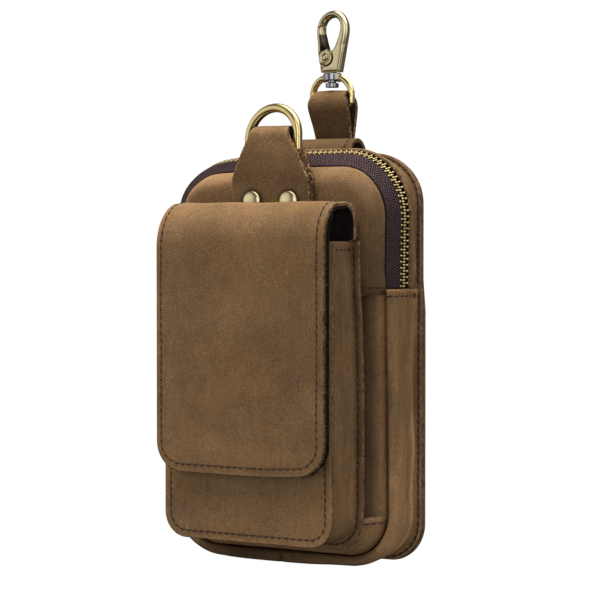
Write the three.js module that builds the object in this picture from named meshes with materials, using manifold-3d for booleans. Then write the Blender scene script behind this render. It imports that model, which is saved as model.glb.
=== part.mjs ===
// Leather belt bag: a zipped main pouch, a flapped front pouch, a belt loop and a swivel snap hook.
// Millimetres. X runs to the right as seen from the front, Y to the back, Z up.
// Sizes are measured from the lower edge of the back panel's rear face. The finished group is then
// moved so that its origin is the inside top of the belt loop, where a belt carries the bag.
import * as THREE from "three";
import { mergeVertices } from "three/addons/utils/BufferGeometryUtils.js";
import Module from "manifold-3d";

const wasm = await Module();
wasm.setup();

// Leather and cloth
const LEATHER = 1.8;
const GUSSET_LEATHER = 1.6;
const TAPE_CLOTH = 0.9;
const LINING_CLOTH = 0.8;
const GAP = 0.3;

// Main pouch
const BACK = { halfWidth: 62.3, bottom: 0, bottomRadius: 20, thickness: 2 };
const BACK_TOP = { halfWidth: 61.2, z: 181, radius: 28 };
const PANEL = { halfWidth: 54.5, bottom: 3, top: 174, bottomRadius: 20, topRadius: 23 };
const PANEL_EDGE_Y = -20;
const PLATEAU_Y = -27;
const SHOULDER = 10;
const FLANGE_Y = -4.3;
const HEM_Z = 120.5;
const UPPER_SEAM_Z = 118.2;
const LOWER_SEAM_Z = 21.6;
const SEAM_STEP = 0.8;

// How far the gusset is puffed out, as a share of its depth, at each height.
const PUFF = [
  { z: -3, share: 0.9 },
  { z: 60, share: 0.98 },
  { z: 125, share: 1.07 },
  { z: 182, share: 0.98 },
];

// Outer lines of the gussets and zip, one row for each fold, from the front panel back to the flange.
// end is the height of the run's far side: its bottom for the lower run, its top for the upper one.
const LOWER_GUSSET = [
  { fold: "groove", y: -20.2, halfWidth: 54.9, end: 2.6, radius: 20.4 },
  { fold: "roll inside", y: -22.2, halfWidth: 55.4, end: 2.1, radius: 20.8 },
  { fold: "roll front", y: -23.0, halfWidth: 57.2, end: 0.4, radius: 22.6 },
  { fold: "roll outside", y: -21.6, halfWidth: 59.4, end: -1.4, radius: 25 },
  { fold: "side front", y: -18, halfWidth: 60.4, end: -2, radius: 26 },
  { fold: "side back", y: -10.5, halfWidth: 60.4, end: -1.3, radius: 25.4 },
  { fold: "ridge", y: -6.6, halfWidth: 60, end: 0.7, radius: 23 },
  { fold: "crease", y: FLANGE_Y, halfWidth: 59, end: 2.8, radius: 18.4 },
  { fold: "flange", y: FLANGE_Y, halfWidth: 62.2, end: 0.1, radius: 20 },
];
const UPPER_GUSSET = [
  { fold: "zip edge", y: -9.8, halfWidth: 60.9, end: 182.4, radius: 31.4, hemHalfWidth: 61.8 },
  { fold: "side", y: -7.2, halfWidth: 60.4, end: 181.8, radius: 30.6, hemHalfWidth: 61.4 },
  { fold: "crease", y: FLANGE_Y, halfWidth: 59.2, end: 179.2, radius: 27, hemHalfWidth: 60.3 },
  { fold: "flange", y: FLANGE_Y, halfWidth: 61.1, end: 180.9, radius: 27.9, hemHalfWidth: 62.2 },
];
const FRONT_TAPE = [
  { fold: "panel side", y: -19.9, halfWidth: 55.2, end: 174.8, radius: 23.8 },
  { fold: "tooth side", y: -14.6, halfWidth: 58.2, end: 179, radius: 30, hemHalfWidth: 58.6 },
];
const TEETH = [
  { fold: "front", y: -14.4, halfWidth: 58.7, end: 179.6, radius: 30.4, hemHalfWidth: 59.1 },
  { fold: "back", y: -11.2, halfWidth: 60.3, end: 181.4, radius: 32, hemHalfWidth: 61.1 },
];
const REAR_TAPE = [
  { fold: "tooth side", y: -9.5, halfWidth: 58.4, end: 179.8, radius: 29, hemHalfWidth: 59.3 },
  { fold: "gusset side", y: -6.6, halfWidth: 57.8, end: 178.8, radius: 28, hemHalfWidth: 58.9 },
];
const TEETH_THICKNESS = 1.8;
const SLIDER = { z: 138, width: 7.6, length: 10, plate: 1.6, pullWidth: 5, pullLength: 15 };

// Front pouch
const POUCH = { halfWidth: 43.4, bottom: 9.8, top: 141, radius: 11, y: -48.6, belly: 2 };
const POUCH_GUSSET = [
  { fold: "front", y: -46.5, halfWidth: 42.9, end: 10.3, radius: 10.5 },
  { fold: "back", y: -30.4, halfWidth: 42.3, end: 10.9, radius: 9.9 },
  { fold: "crease", y: -28.9, halfWidth: 42.5, end: 10.7, radius: 10 },
  { fold: "flange", y: -28.9, halfWidth: 46.5, end: 6.6, radius: 14 },
];
const FLAP = { halfWidth: 43.6, bottom: 39.7, radius: 13, tailHalfWidth: 39.6, tailBottom: 126 };
const FLAP_BACK_Y = -28.4;
const FLAP_FRONT_Y = -53.9;
const FLAP_TOP = 157.5;
const FLAP_BACK_RADIUS = 8.1;
const FLAP_FRONT_RADIUS = 12.4;
const FLAP_OVER_TAB = { bulge: 6.4, flatHalfWidth: 20, fadeHalfWidth: 37 };
const FLAP_COLUMNS = 10;
const LINING_INSET = 0.5;

// Front tab with its ring
const TAB_Y = -28;
const TAB_LAYERS_Y = { front: -30.3, back: -28.2 };
const TAB_BOTTOM = 151;
const TAB_FOLD = { z: 188.1, radius: 3.4 };
const TAB_WIDTHS = [
  { z: 150, halfWidth: 20.2 },
  { z: 170, halfWidth: 20 },
  { z: 180.4, halfWidth: 16 },
  { z: 186, halfWidth: 12 },
  { z: 188.2, halfWidth: 10.6 },
  { z: 192.5, halfWidth: 9.2 },
];
const D_RING = { halfWidth: 13.2, arch: 187, rise: 13.2, bar: 179.5, corner: 3, wire: 2 };
const RIVET = { x: 9.6, z: 159, radius: 4.5, height: 2.1, rim: 0.5 };

// Back: belt loop and hook strap
const LOOP = { halfWidth: 18, thickness: 2, arch: { y: 16.1, z: 180.4, radius: 6.9 } };
const STRAP_LAYERS_Y = { front: 25.2, back: 27.4 };
const STRAP_BOTTOM = 163;
const STRAP_FOLD = { y: 23.8, z: 205.5, radius: 4.3 };
const STRAP_WIDTHS = [
  { z: 160, halfWidth: 9.8 },
  { z: 196, halfWidth: 10 },
  { z: 202, halfWidth: 10.5 },
  { z: 205.4, halfWidth: 8.5 },
  { z: 210, halfWidth: 7.9 },
];

// Swivel snap hook
const SWIVEL = { y: 23.4, halfWidth: 10.45, arch: 208.5, rise: 8, bar: 203.8, corner: 1.9, wire: 1.6 };
const COLLAR = { bottom: 215.3, top: 218.6, radius: 4.3, bore: 2.3 };
const POST = { radius: 1.9, headRadius: 3.1, headBottom: 212, headTop: 214.1 };
const HOOK = { base: 219, thickness: 5, bevel: 0.6 };
const GATE_PIVOT = { x: -2.2, z: 6.9, lobe: 3.7, pin: 1.2, bore: 1.5, reach: 14.4, tongue: 1.5 };

const COLOURS = {
  leather: { color: 0x6b5034, roughness: 0.62, metalness: 0 },
  tape: { color: 0x372a2c, roughness: 0.85, metalness: 0 },
  lining: { color: 0x16110e, roughness: 0.95, metalness: 0 },
  brass: { color: 0xb49a62, roughness: 0.32, metalness: 1 },
};

const vector = (x, y, z) => new THREE.Vector3(x, y, z);
const mix = THREE.MathUtils.lerp;

// Value of a short table at a height, straight between its rows.
function atHeight(table, column, z) {
  const above = table.findIndex((row) => row.z >= z);
  if (above <= 0) {
    return table[above === 0 ? 0 : table.length - 1][column];
  }
  const low = table[above - 1];
  const high = table[above];
  return mix(low[column], high[column], (z - low.z) / (high.z - low.z));
}

// Depth of a fold at a height: the puff moves what lies in front of the sewn flange.
function puffed(y, z) {
  return y >= FLANGE_Y ? y : FLANGE_Y + (y - FLANGE_Y) * atHeight(PUFF, "share", z);
}

// Closed geometry from points and triangles, turned so that its faces point out.
function outward(points, faces) {
  let volume = 0;
  for (let i = 0; i < faces.length; i += 3) {
    const [a, b, c] = [points[faces[i]], points[faces[i + 1]], points[faces[i + 2]]];
    volume += a.dot(b.clone().cross(c));
  }
  if (volume < 0) {
    faces.reverse();
  }
  return new THREE.BufferGeometry().setFromPoints(points).setIndex(faces);
}

// Solid through a list of like sections. With a cap outline its ends are closed, without one it is a ring.
function loft(sections, capOutline) {
  const count = sections[0].length;
  const spans = capOutline ? sections.length - 1 : sections.length;
  const faces = [];
  for (let i = 0; i < spans; i++) {
    const here = i * count;
    const next = ((i + 1) % sections.length) * count;
    for (let j = 0; j < count; j++) {
      const k = (j + 1) % count;
      faces.push(here + j, here + k, next + k, here + j, next + k, next + j);
    }
  }
  if (capOutline) {
    const end = spans * count;
    const turn = Math.sign(THREE.ShapeUtils.area(capOutline));
    for (const [p, q, r] of THREE.ShapeUtils.triangulateShape(capOutline, [])) {
      const corners = [p, q, r].map((i) => capOutline[i]);
      const [a, b, c] = Math.sign(THREE.ShapeUtils.area(corners)) === turn ? [p, q, r] : [r, q, p];
      faces.push(c, b, a, end + a, end + b, end + c);
    }
  }
  return outward(sections.flat(), faces);
}

// Closed wall between two grids of points of the same size.
function wall(outer, inner) {
  const rows = outer.length;
  const columns = outer[0].length;
  const offset = rows * columns;
  const faces = [];
  const quad = (a, b, c, d) => faces.push(a, b, c, a, c, d);
  for (let i = 0; i < rows - 1; i++) {
    for (let j = 0; j < columns - 1; j++) {
      const a = i * columns + j;
      const corners = [a, a + 1, a + columns + 1, a + columns];
      quad(...corners);
      quad(...corners.map((k) => k + offset).reverse());
    }
  }
  const rim = [];
  for (let j = 0; j < columns - 1; j++) rim.push(j);
  for (let i = 0; i < rows - 1; i++) rim.push(i * columns + columns - 1);
  for (let j = columns - 1; j > 0; j--) rim.push((rows - 1) * columns + j);
  for (let i = rows - 1; i > 0; i--) rim.push(i * columns);
  rim.forEach((a, i) => {
    const b = rim[(i + 1) % rim.length];
    quad(b, a, a + offset, b + offset);
  });
  return outward([...outer.flat(), ...inner.flat()], faces);
}

// Normal of each point of an open line of 2D points, lengthened at bends so that an offset keeps its width.
function lineNormals(line) {
  const turns = line.slice(1).map((p, i) => p.clone().sub(line[i]).normalize());
  return line.map((p, i) => {
    const before = turns[Math.max(i - 1, 0)];
    const after = turns[Math.min(i, turns.length - 1)];
    const along = before.clone().add(after).normalize();
    const stretch = Math.min(1 / Math.max(along.dot(after), 0.1), 1.6);
    return new THREE.Vector2(-along.y, along.x).multiplyScalar(stretch);
  });
}

// U-shaped run of one fold in the XZ plane: a leg, a corner, the far side, a corner and the other leg.
// The legs may stand further apart at the hem than at the corners.
function run({ halfWidth, end, radius, hemHalfWidth = halfWidth }, start) {
  const LEG_STEPS = 5;
  const CORNER_STEPS = 8;
  const CROSS_STEPS = 4;
  const way = Math.sign(end - start);
  const cornerX = halfWidth - radius;
  const cornerZ = end - way * radius;
  const half = [];
  for (let i = 0; i < LEG_STEPS; i++) {
    half.push([mix(hemHalfWidth, halfWidth, i / LEG_STEPS), mix(start, cornerZ, i / LEG_STEPS)]);
  }
  for (let i = 0; i < CORNER_STEPS; i++) {
    const angle = ((i / CORNER_STEPS) * Math.PI) / 2;
    half.push([cornerX + radius * Math.cos(angle), cornerZ + way * radius * Math.sin(angle)]);
  }
  const cross = [];
  for (let i = 0; i <= CROSS_STEPS; i++) {
    cross.push([mix(cornerX, -cornerX, i / CROSS_STEPS), end]);
  }
  const mirrored = half.map(([x, z]) => [-x, z]).reverse();
  return [...half, ...cross, ...mirrored];
}

// One side of a run's sections, from its leg to the seam in the middle of the far side.
function sideOfRun(sections, side) {
  const middle = (sections.length - 1) / 2;
  const kept = side > 0 ? sections.slice(0, middle + 1) : sections.slice(middle);
  const seam = side > 0 ? kept.at(-1) : kept[0];
  seam.forEach((p) => p.setX((side * GAP) / 2));
  return kept;
}

// Wall that follows a U-shaped run, with one table row for each fold of its outer line. It is whole, or
// one side of the run: -1 is the left one and 1 the right one.
function runWall(rows, start, thickness, depth = (y) => y, side = 0) {
  const way = Math.sign(rows[0].end - start);
  const normals = lineNormals(rows.map(({ halfWidth, y }) => new THREE.Vector2(halfWidth, y)));
  const inner = rows.map((row, i) => {
    const inset = normals[i].x * thickness;
    return {
      y: row.y + normals[i].y * thickness,
      halfWidth: row.halfWidth + inset,
      end: row.end + way * inset,
      radius: row.radius + inset,
      hemHalfWidth: (row.hemHalfWidth ?? row.halfWidth) + inset,
    };
  });
  const loop = [...rows, ...inner.reverse()];
  const runs = loop.map((row) => run(row, start));
  const sections = runs[0].map((_, i) =>
    loop.map((row, j) => vector(runs[j][i][0], depth(row.y, runs[j][i][1]), runs[j][i][1])),
  );
  const kept = side === 0 ? sections : sideOfRun(sections, side);
  return loft(kept, loop.map(({ halfWidth, y }) => new THREE.Vector2(halfWidth, y)));
}

// Strip of leather that follows a line of (y, z) points down its middle. The place of each column comes
// from its share of the way from the middle to a side, which is -1 at the left and 1 at the right.
function ribbon(line, thickness, place, columns = 2, bulge = () => 0) {
  const normals = lineNormals(line);
  const side = (offset) =>
    line.map((p, i) => {
      const middle = p.clone().addScaledVector(normals[i], offset);
      return Array.from({ length: columns + 1 }, (_, j) => {
        const x = place(mix(-1, 1, j / columns), i);
        return vector(x, middle.x + bulge(x, i), middle.y);
      });
    });
  return wall(side(thickness / 2), side(-thickness / 2));
}

// Closed wire ring shaped like a D: an arch over two short legs and a straight bar.
function dRing({ halfWidth, arch, rise, bar, corner, wire }, y, sides) {
  const ARCH_STEPS = 9;
  const CORNER_STEPS = 3;
  const path = new THREE.Path()
    .moveTo(halfWidth, arch)
    .absellipse(0, arch, halfWidth, rise, 0, Math.PI, false)
    .lineTo(-halfWidth, bar + corner)
    .absarc(-halfWidth + corner, bar + corner, corner, Math.PI, 1.5 * Math.PI, false)
    .lineTo(halfWidth - corner, bar)
    .absarc(halfWidth - corner, bar + corner, corner, 1.5 * Math.PI, 2 * Math.PI, false);
  const centres = path.curves.flatMap((curve) => {
    const bend = curve.isEllipseCurve;
    const steps = !bend ? 1 : curve.xRadius === halfWidth ? 2 * ARCH_STEPS : CORNER_STEPS;
    return curve.getPoints(steps).slice(0, -1);
  });
  const sections = centres.map((p, i) => {
    const before = centres.at(i - 1);
    const after = centres[(i + 1) % centres.length];
    const along = after.clone().sub(before).normalize();
    return Array.from({ length: sides }, (_, j) => {
      const angle = (2 * Math.PI * j) / sides;
      const out = wire * Math.cos(angle);
      return vector(p.x + along.y * out, y + wire * Math.sin(angle), p.y - along.x * out);
    });
  });
  return loft(sections, null);
}

// Booleans on closed geometries.
function solid(geometry) {
  const bare = new THREE.BufferGeometry().setAttribute("position", geometry.getAttribute("position"));
  bare.setIndex(geometry.index);
  const merged = mergeVertices(bare, 1e-4);
  return new wasm.Manifold(
    new wasm.Mesh({
      numProp: 3,
      vertProperties: merged.getAttribute("position").array,
      triVerts: new Uint32Array(merged.index.array),
    }),
  );
}

function geometryOf(manifold) {
  const made = manifold.getMesh();
  return new THREE.BufferGeometry()
    .setAttribute("position", new THREE.BufferAttribute(made.vertProperties, 3))
    .setIndex(new THREE.BufferAttribute(made.triVerts, 1));
}

// Round bar along Y or Z, given by its centre.
function bar(axis, radius, length, centre, sides = 20) {
  const made = new THREE.CylinderGeometry(radius, radius, length, sides);
  if (axis === "z") {
    made.rotateX(Math.PI / 2);
  }
  return made.translate(centre.x, centre.y, centre.z);
}

// Flat outline in the XZ plane, extruded through a thickness that is centred on a depth.
function plate(shape, thickness, y, bevel = 0) {
  const made = new THREE.ExtrudeGeometry(shape, {
    depth: thickness - 2 * bevel,
    curveSegments: 6,
    bevelEnabled: bevel > 0,
    bevelThickness: bevel,
    bevelSize: bevel,
    bevelOffset: -bevel,
    bevelSegments: 1,
  });
  return made.rotateX(Math.PI / 2).translate(0, y + thickness / 2 - bevel, 0);
}

// Main pouch

function backPanel() {
  const { halfWidth, bottom, bottomRadius, thickness } = BACK;
  const { halfWidth: topHalfWidth, z: top, radius: topRadius } = BACK_TOP;
  const outline = new THREE.Shape()
    .moveTo(-halfWidth + bottomRadius, bottom)
    .lineTo(halfWidth - bottomRadius, bottom)
    .absarc(halfWidth - bottomRadius, bottom + bottomRadius, bottomRadius, -Math.PI / 2, 0, false)
    .lineTo(halfWidth, HEM_Z)
    .lineTo(topHalfWidth, top - topRadius)
    .absarc(topHalfWidth - topRadius, top - topRadius, topRadius, 0, Math.PI / 2, false)
    .lineTo(-topHalfWidth + topRadius, top)
    .absarc(-topHalfWidth + topRadius, top - topRadius, topRadius, Math.PI / 2, Math.PI, false)
    .lineTo(-halfWidth, HEM_Z)
    .lineTo(-halfWidth, bottom + bottomRadius)
    .absarc(-halfWidth + bottomRadius, bottom + bottomRadius, bottomRadius, Math.PI, 1.5 * Math.PI, false);
  return plate(outline, thickness, -thickness / 2);
}

// Half width of the front panel's outline at a height.
function panelReach(z) {
  const { halfWidth, bottom, top, bottomRadius, topRadius } = PANEL;
  const low = Math.max(bottom + bottomRadius - z, 0);
  const high = Math.max(z - top + topRadius, 0);
  const radius = high > 0 ? topRadius : bottomRadius;
  const into = Math.min(Math.max(low, high), radius);
  return halfWidth - radius + Math.sqrt(radius * radius - into * into);
}

// Distance of a point of the front panel from the panel's outline.
function panelInset(x, z) {
  const { halfWidth, bottom, top, bottomRadius, topRadius } = PANEL;
  const radius = z > (bottom + top) / 2 ? topRadius : bottomRadius;
  const fromCorner = new THREE.Vector2(
    Math.abs(x) - halfWidth + radius,
    Math.max(bottom + radius - z, z - top + radius),
  );
  if (fromCorner.x > 0 && fromCorner.y > 0) {
    return radius - fromCorner.length();
  }
  return radius - Math.max(fromCorner.x, fromCorner.y);
}

// The front panel rises from its sewn edge over a round shoulder to a flat middle.
function panelSurface(x, z, step) {
  const rise = 1 - Math.pow(1 - THREE.MathUtils.clamp(panelInset(x, z) / SHOULDER, 0, 1), 3);
  const middle = PLATEAU_Y + step;
  return vector(x, mix(puffed(PANEL_EDGE_Y, z), middle, rise), z);
}

function panelNormal(x, z, step) {
  const REACH = 0.2;
  const across = panelSurface(x + REACH, z, step).sub(panelSurface(x - REACH, z, step));
  const up = panelSurface(x, z + REACH, step).sub(panelSurface(x, z - REACH, step));
  return up.cross(across).normalize();
}

function panelWall(heights, step) {
  const columns = [-1, -0.965, -0.92, -0.86, -0.78, -0.4, 0, 0.4, 0.78, 0.86, 0.92, 0.965, 1];
  const outer = heights.map((z) => columns.map((share) => panelSurface(share * panelReach(z), z, step)));
  const inner = outer.map((row) =>
    row.map((p) => {
      const inwards = panelNormal(p.x * 0.998, THREE.MathUtils.clamp(p.z, 3.3, 173.7), step);
      const set = p.clone().addScaledVector(inwards, LEATHER);
      const atSeam = p.z === heights[0] || p.z === heights.at(-1);
      return atSeam && panelReach(p.z) === PANEL.halfWidth ? set.setZ(p.z) : set;
    }),
  );
  return wall(outer, inner);
}

// Heights of the panel's rows round a corner, from its straight side to its far edge.
function cornerHeights(start, radius, way) {
  const angles = [0, 15, 30, 45, 57, 68, 79, 90];
  return angles.map((angle) => start + way * radius * Math.sin(THREE.MathUtils.degToRad(angle)));
}

function panelUpper() {
  const corner = cornerHeights(PANEL.top - PANEL.topRadius, PANEL.topRadius, 1);
  return panelWall([UPPER_SEAM_Z, 129, 140, ...corner], 0);
}

function panelMiddle() {
  const bottom = LOWER_SEAM_Z + GAP;
  return panelWall([bottom, 26, 45, 70, 95, UPPER_SEAM_Z - GAP], SEAM_STEP);
}

function panelLower() {
  const corner = cornerHeights(PANEL.bottom + PANEL.bottomRadius, PANEL.bottomRadius, -1);
  return panelWall([...corner.reverse().slice(0, -1), LOWER_SEAM_Z], 0);
}

// Zip slider with its pull, in one piece, riding on the left end of the teeth.
function zipSlider() {
  const { z, width, length, plate: thick, pullWidth, pullLength } = SLIDER;
  const [front, back] = TEETH;
  const slope = Math.atan2(back.y - front.y, back.halfWidth - front.halfWidth);
  const body = new THREE.Shape()
    .moveTo(-width / 2, length / 2)
    .quadraticCurveTo(-width / 2, -length / 4, -width / 4, -length / 2)
    .lineTo(width / 4, -length / 2)
    .quadraticCurveTo(width / 2, -length / 4, width / 2, length / 2)
    .closePath();
  const pull = new THREE.Shape()
    .moveTo(-pullWidth / 4, length / 4)
    .lineTo(-pullWidth / 2, -pullLength)
    .lineTo(pullWidth / 2, -pullLength)
    .lineTo(pullWidth / 4, length / 4)
    .closePath();
  const made = solid(plate(body, thick, -thick / 2)).add(solid(plate(pull, thick, -1.4 * thick)));
  const centreX = -(front.halfWidth + back.halfWidth) / 2;
  const centreY = (puffed(front.y, z) + puffed(back.y, z)) / 2;
  return geometryOf(made)
    .rotateZ(-slope)
    .translate(centreX - 2 * GAP * Math.sin(slope), centreY - 2 * GAP * Math.cos(slope), z);
}

// Front pouch

function pouchFront() {
  const { halfWidth, bottom, top, radius, y, belly } = POUCH;
  const COLUMNS = 8;
  const corner = [90, 75, 60, 45, 30, 15, 0].map(THREE.MathUtils.degToRad);
  const rounded = corner.map((angle) => [
    bottom + radius * (1 - Math.sin(angle)),
    halfWidth - radius * (1 - Math.cos(angle)),
  ]);
  const straight = [45, 70, 95, 120, top].map((z) => [z, halfWidth]);
  const face = (back) =>
    [...rounded, ...straight].map(([z, reach]) =>
      Array.from({ length: COLUMNS + 1 }, (_, j) => {
        const x = mix(-reach, reach, j / COLUMNS);
        const across = 1 - (x / halfWidth) ** 2;
        const up = Math.sin((Math.PI * (z - bottom)) / (top - bottom));
        return vector(x, y - belly * across * up + back, z);
      }),
    );
  return wall(face(0), face(LEATHER));
}

// Middle line of the flap in (y, z): up behind the pouch, over its mouth and down its front.
function flapLine() {
  const corner = [0, 18, 36, 54, 72, 90].map(THREE.MathUtils.degToRad);
  const path = new THREE.Path()
    .moveTo(FLAP_BACK_Y, FLAP.tailBottom)
    .lineTo(FLAP_BACK_Y, POUCH.top)
    .lineTo(FLAP_BACK_Y, POUCH.top + 1.2)
    .lineTo(FLAP_BACK_Y, FLAP_TOP - FLAP_BACK_RADIUS)
    .absarc(FLAP_BACK_Y - FLAP_BACK_RADIUS, FLAP_TOP - FLAP_BACK_RADIUS, FLAP_BACK_RADIUS, 0, Math.PI / 2, false)
    .absarc(FLAP_FRONT_Y + FLAP_FRONT_RADIUS, FLAP_TOP - FLAP_FRONT_RADIUS, FLAP_FRONT_RADIUS, Math.PI / 2, Math.PI, false)
    .lineTo(FLAP_FRONT_Y, 110)
    .lineTo(FLAP_FRONT_Y, 80);
  corner.forEach((angle) => path.lineTo(FLAP_FRONT_Y, FLAP.bottom + FLAP.radius * (1 - Math.sin(angle))));
  return path.getPoints(4);
}

// The tail behind the pouch is narrower than the flap, and the flap's lower corners are round.
function flapPlace(share, { x: y, y: z }, inset) {
  const { halfWidth, bottom, radius, tailHalfWidth } = FLAP;
  const isTail = y > FLAP_BACK_Y - 1 && z <= POUCH.top + 0.1;
  const into = y < FLAP_FRONT_Y + 1 ? Math.max(bottom + radius - z, 0) : 0;
  const cut = radius - Math.sqrt(Math.max(radius ** 2 - into ** 2, 0));
  const reach = (isTail ? tailHalfWidth : halfWidth - cut) - inset;
  return THREE.MathUtils.clamp(share * (halfWidth - cut), -reach, reach);
}

// The flap stands forward of the ring tab and its rivets, which lie between it and the front panel.
function flapBulge(x, { x: y }) {
  const { bulge, flatHalfWidth, fadeHalfWidth } = FLAP_OVER_TAB;
  const aside = THREE.MathUtils.smoothstep(Math.abs(x), flatHalfWidth, fadeHalfWidth);
  const forward = THREE.MathUtils.smoothstep(y, FLAP_FRONT_Y + 4, FLAP_BACK_Y);
  return -bulge * (1 - aside) * forward;
}

function flap() {
  const line = flapLine();
  const place = (share, i) => flapPlace(share, line[i], 0);
  return ribbon(line, LEATHER, place, FLAP_COLUMNS, (x, i) => flapBulge(x, line[i]));
}

function flapLining() {
  const line = flapLine();
  const normals = lineNormals(line);
  const inside = (LEATHER + LINING_CLOTH) / 2 + 1.5 * GAP;
  const lined = line.map((p, i) => p.clone().addScaledVector(normals[i], inside));
  lined.at(-1).y += LINING_INSET;
  const place = (share, i) => flapPlace(share, line[i], LINING_INSET);
  return ribbon(lined, LINING_CLOTH, place, FLAP_COLUMNS, (x, i) => flapBulge(x, line[i]));
}

// Front tab: up from the rivets, over the ring's bar and down again behind.
function ringTab() {
  const { z, radius } = TAB_FOLD;
  const line = new THREE.Path()
    .moveTo(TAB_LAYERS_Y.front, TAB_BOTTOM)
    .lineTo(TAB_LAYERS_Y.front, 166)
    .splineThru([new THREE.Vector2(TAB_Y - 3.1, 173), new THREE.Vector2(TAB_Y - radius, 180)])
    .lineTo(TAB_Y - radius, 186)
    .absarc(TAB_Y, z, radius, Math.PI, 0, true)
    .lineTo(TAB_Y + radius, 180)
    .splineThru([new THREE.Vector2(TAB_Y + 2, 173), new THREE.Vector2(TAB_LAYERS_Y.back, 166)])
    .lineTo(TAB_LAYERS_Y.back, TAB_BOTTOM);
  const points = line.getPoints(4);
  return ribbon(points, LEATHER, (share, i) => share * atHeight(TAB_WIDTHS, "halfWidth", points[i].y));
}

function rivet(side) {
  const { x, z, radius, height, rim } = RIVET;
  const face = TAB_LAYERS_Y.front - LEATHER / 2 - GAP;
  const profile = new THREE.Path()
    .moveTo(0, 0)
    .lineTo(radius, 0)
    .lineTo(radius, rim)
    .quadraticCurveTo(radius * 0.75, height, 0, height);
  const made = new THREE.LatheGeometry(profile.getPoints(5), 16);
  return made.rotateX(Math.PI).translate(side * x, face, z);
}

// Belt loop: sewn to the back panel at both ends, folded over at the top.
function beltLoop() {
  const { arch, halfWidth, thickness } = LOOP;
  const onPanel = thickness / 2 + GAP;
  const line = new THREE.Path()
    .moveTo(onPanel, 138)
    .lineTo(onPanel, 148)
    .splineThru([new THREE.Vector2(4.2, 163), new THREE.Vector2(arch.y - arch.radius, arch.z)])
    .absarc(arch.y, arch.z, arch.radius, Math.PI, 0, true)
    .lineTo(arch.y + arch.radius, 162)
    .splineThru([
      new THREE.Vector2(20.6, 140),
      new THREE.Vector2(13, 112),
      new THREE.Vector2(4.6, 88),
      new THREE.Vector2(onPanel, 74),
    ])
    .lineTo(onPanel, 60);
  return ribbon(line.getPoints(4), thickness, (share) => share * halfWidth);
}

// Hook strap: two layers sewn behind the belt loop, open at the top round the swivel ring's bar.
function hookStrap() {
  const { y, z, radius } = STRAP_FOLD;
  const line = new THREE.Path()
    .moveTo(STRAP_LAYERS_Y.front, STRAP_BOTTOM)
    .lineTo(STRAP_LAYERS_Y.front, 188)
    .splineThru([new THREE.Vector2(22.6, 196), new THREE.Vector2(y - radius, 203)])
    .lineTo(y - radius, z)
    .absarc(y, z, radius, Math.PI, 0, true)
    .splineThru([new THREE.Vector2(y + radius, 200), new THREE.Vector2(STRAP_LAYERS_Y.back, 188)])
    .lineTo(STRAP_LAYERS_Y.back, STRAP_BOTTOM);
  const points = line.getPoints(4);
  return ribbon(points, LEATHER, (share, i) => share * atHeight(STRAP_WIDTHS, "halfWidth", points[i].y));
}

// Swivel snap hook

function swivelRing() {
  const { bottom, top, radius, bore } = COLLAR;
  const centre = vector(0, SWIVEL.y, (bottom + top) / 2);
  const collar = solid(bar("z", radius, top - bottom, centre));
  const hole = solid(bar("z", bore, 4 * (top - bottom), centre));
  return geometryOf(solid(dRing(SWIVEL, SWIVEL.y, 8)).add(collar).subtract(hole));
}

// Outline of the hook, from its base up the back arm, over the top and down to the nose.
function hookOutline() {
  return new THREE.Shape()
    .moveTo(-5.2, 0)
    .lineTo(5.2, 0)
    .lineTo(7.2, 10)
    .bezierCurveTo(8.6, 16.5, 8.9, 20, 7.9, 22.6)
    .bezierCurveTo(6.4, 26.6, 3.4, 28.5, 0.4, 28.5)
    .bezierCurveTo(-4.2, 28.5, -8.2, 25.4, -8.2, 19)
    .lineTo(-6.4, 6)
    .lineTo(-5.2, 0);
}

// Opening of the hook, narrow at the gate's foot.
function eyeOutline() {
  return new THREE.Shape()
    .moveTo(0.2, 9)
    .lineTo(1.9, 11.2)
    .bezierCurveTo(3.6, 16, 4.9, 19.5, 4.5, 21.6)
    .bezierCurveTo(4, 24, 2.4, 25.2, 0.4, 25.2)
    .bezierCurveTo(-2.6, 25.2, -4.6, 23, -4.4, 19)
    .lineTo(-1.4, 9.6)
    .lineTo(0.2, 9);
}

// Sector of a disc round the gate's pivot, which holds everything that belongs to the gate.
function gateSector(radius) {
  const { x, z } = GATE_PIVOT;
  const [from, to] = [72, 140].map(THREE.MathUtils.degToRad);
  return new THREE.Shape().moveTo(x, z).absarc(x, z, radius, from, to, false).lineTo(x, z);
}

function pivotDisc(radius, thickness) {
  const { x, z } = GATE_PIVOT;
  return solid(bar("y", radius, thickness, vector(x, SWIVEL.y, z), 24));
}

function hookBody() {
  const { base, thickness, bevel } = HOOK;
  const { x, z, lobe, bore, reach, tongue } = GATE_PIVOT;
  const through = 3 * thickness;
  const cut = (shape) => solid(plate(shape, through, SWIVEL.y));
  const frame = solid(plate(hookOutline(), thickness, SWIVEL.y, bevel))
    .subtract(cut(eyeOutline()))
    .subtract(cut(gateSector(reach + 0.4)))
    .subtract(pivotDisc(lobe + 0.4, through));
  const foot = new THREE.Shape().moveTo(x - 1.6, 1).lineTo(x + 2.6, 1).lineTo(x + 2.6, z).lineTo(x - 1.6, z).closePath();
  const leaf = pivotDisc(2.8, tongue).add(solid(plate(foot, tongue, SWIVEL.y)));
  const post = solid(bar("z", POST.radius, HOOK.base - POST.headBottom, vector(0, SWIVEL.y, (POST.headBottom - base) / 2)));
  const headHeight = POST.headTop - POST.headBottom;
  const headMiddle = (POST.headTop + POST.headBottom) / 2 - base;
  const head = solid(bar("z", POST.headRadius, headHeight, vector(0, SWIVEL.y, headMiddle)));
  const made = frame.add(leaf).subtract(pivotDisc(bore, through)).add(post.translate(0, 0, 0.2)).add(head);
  return geometryOf(made).translate(0, 0, base);
}

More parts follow.
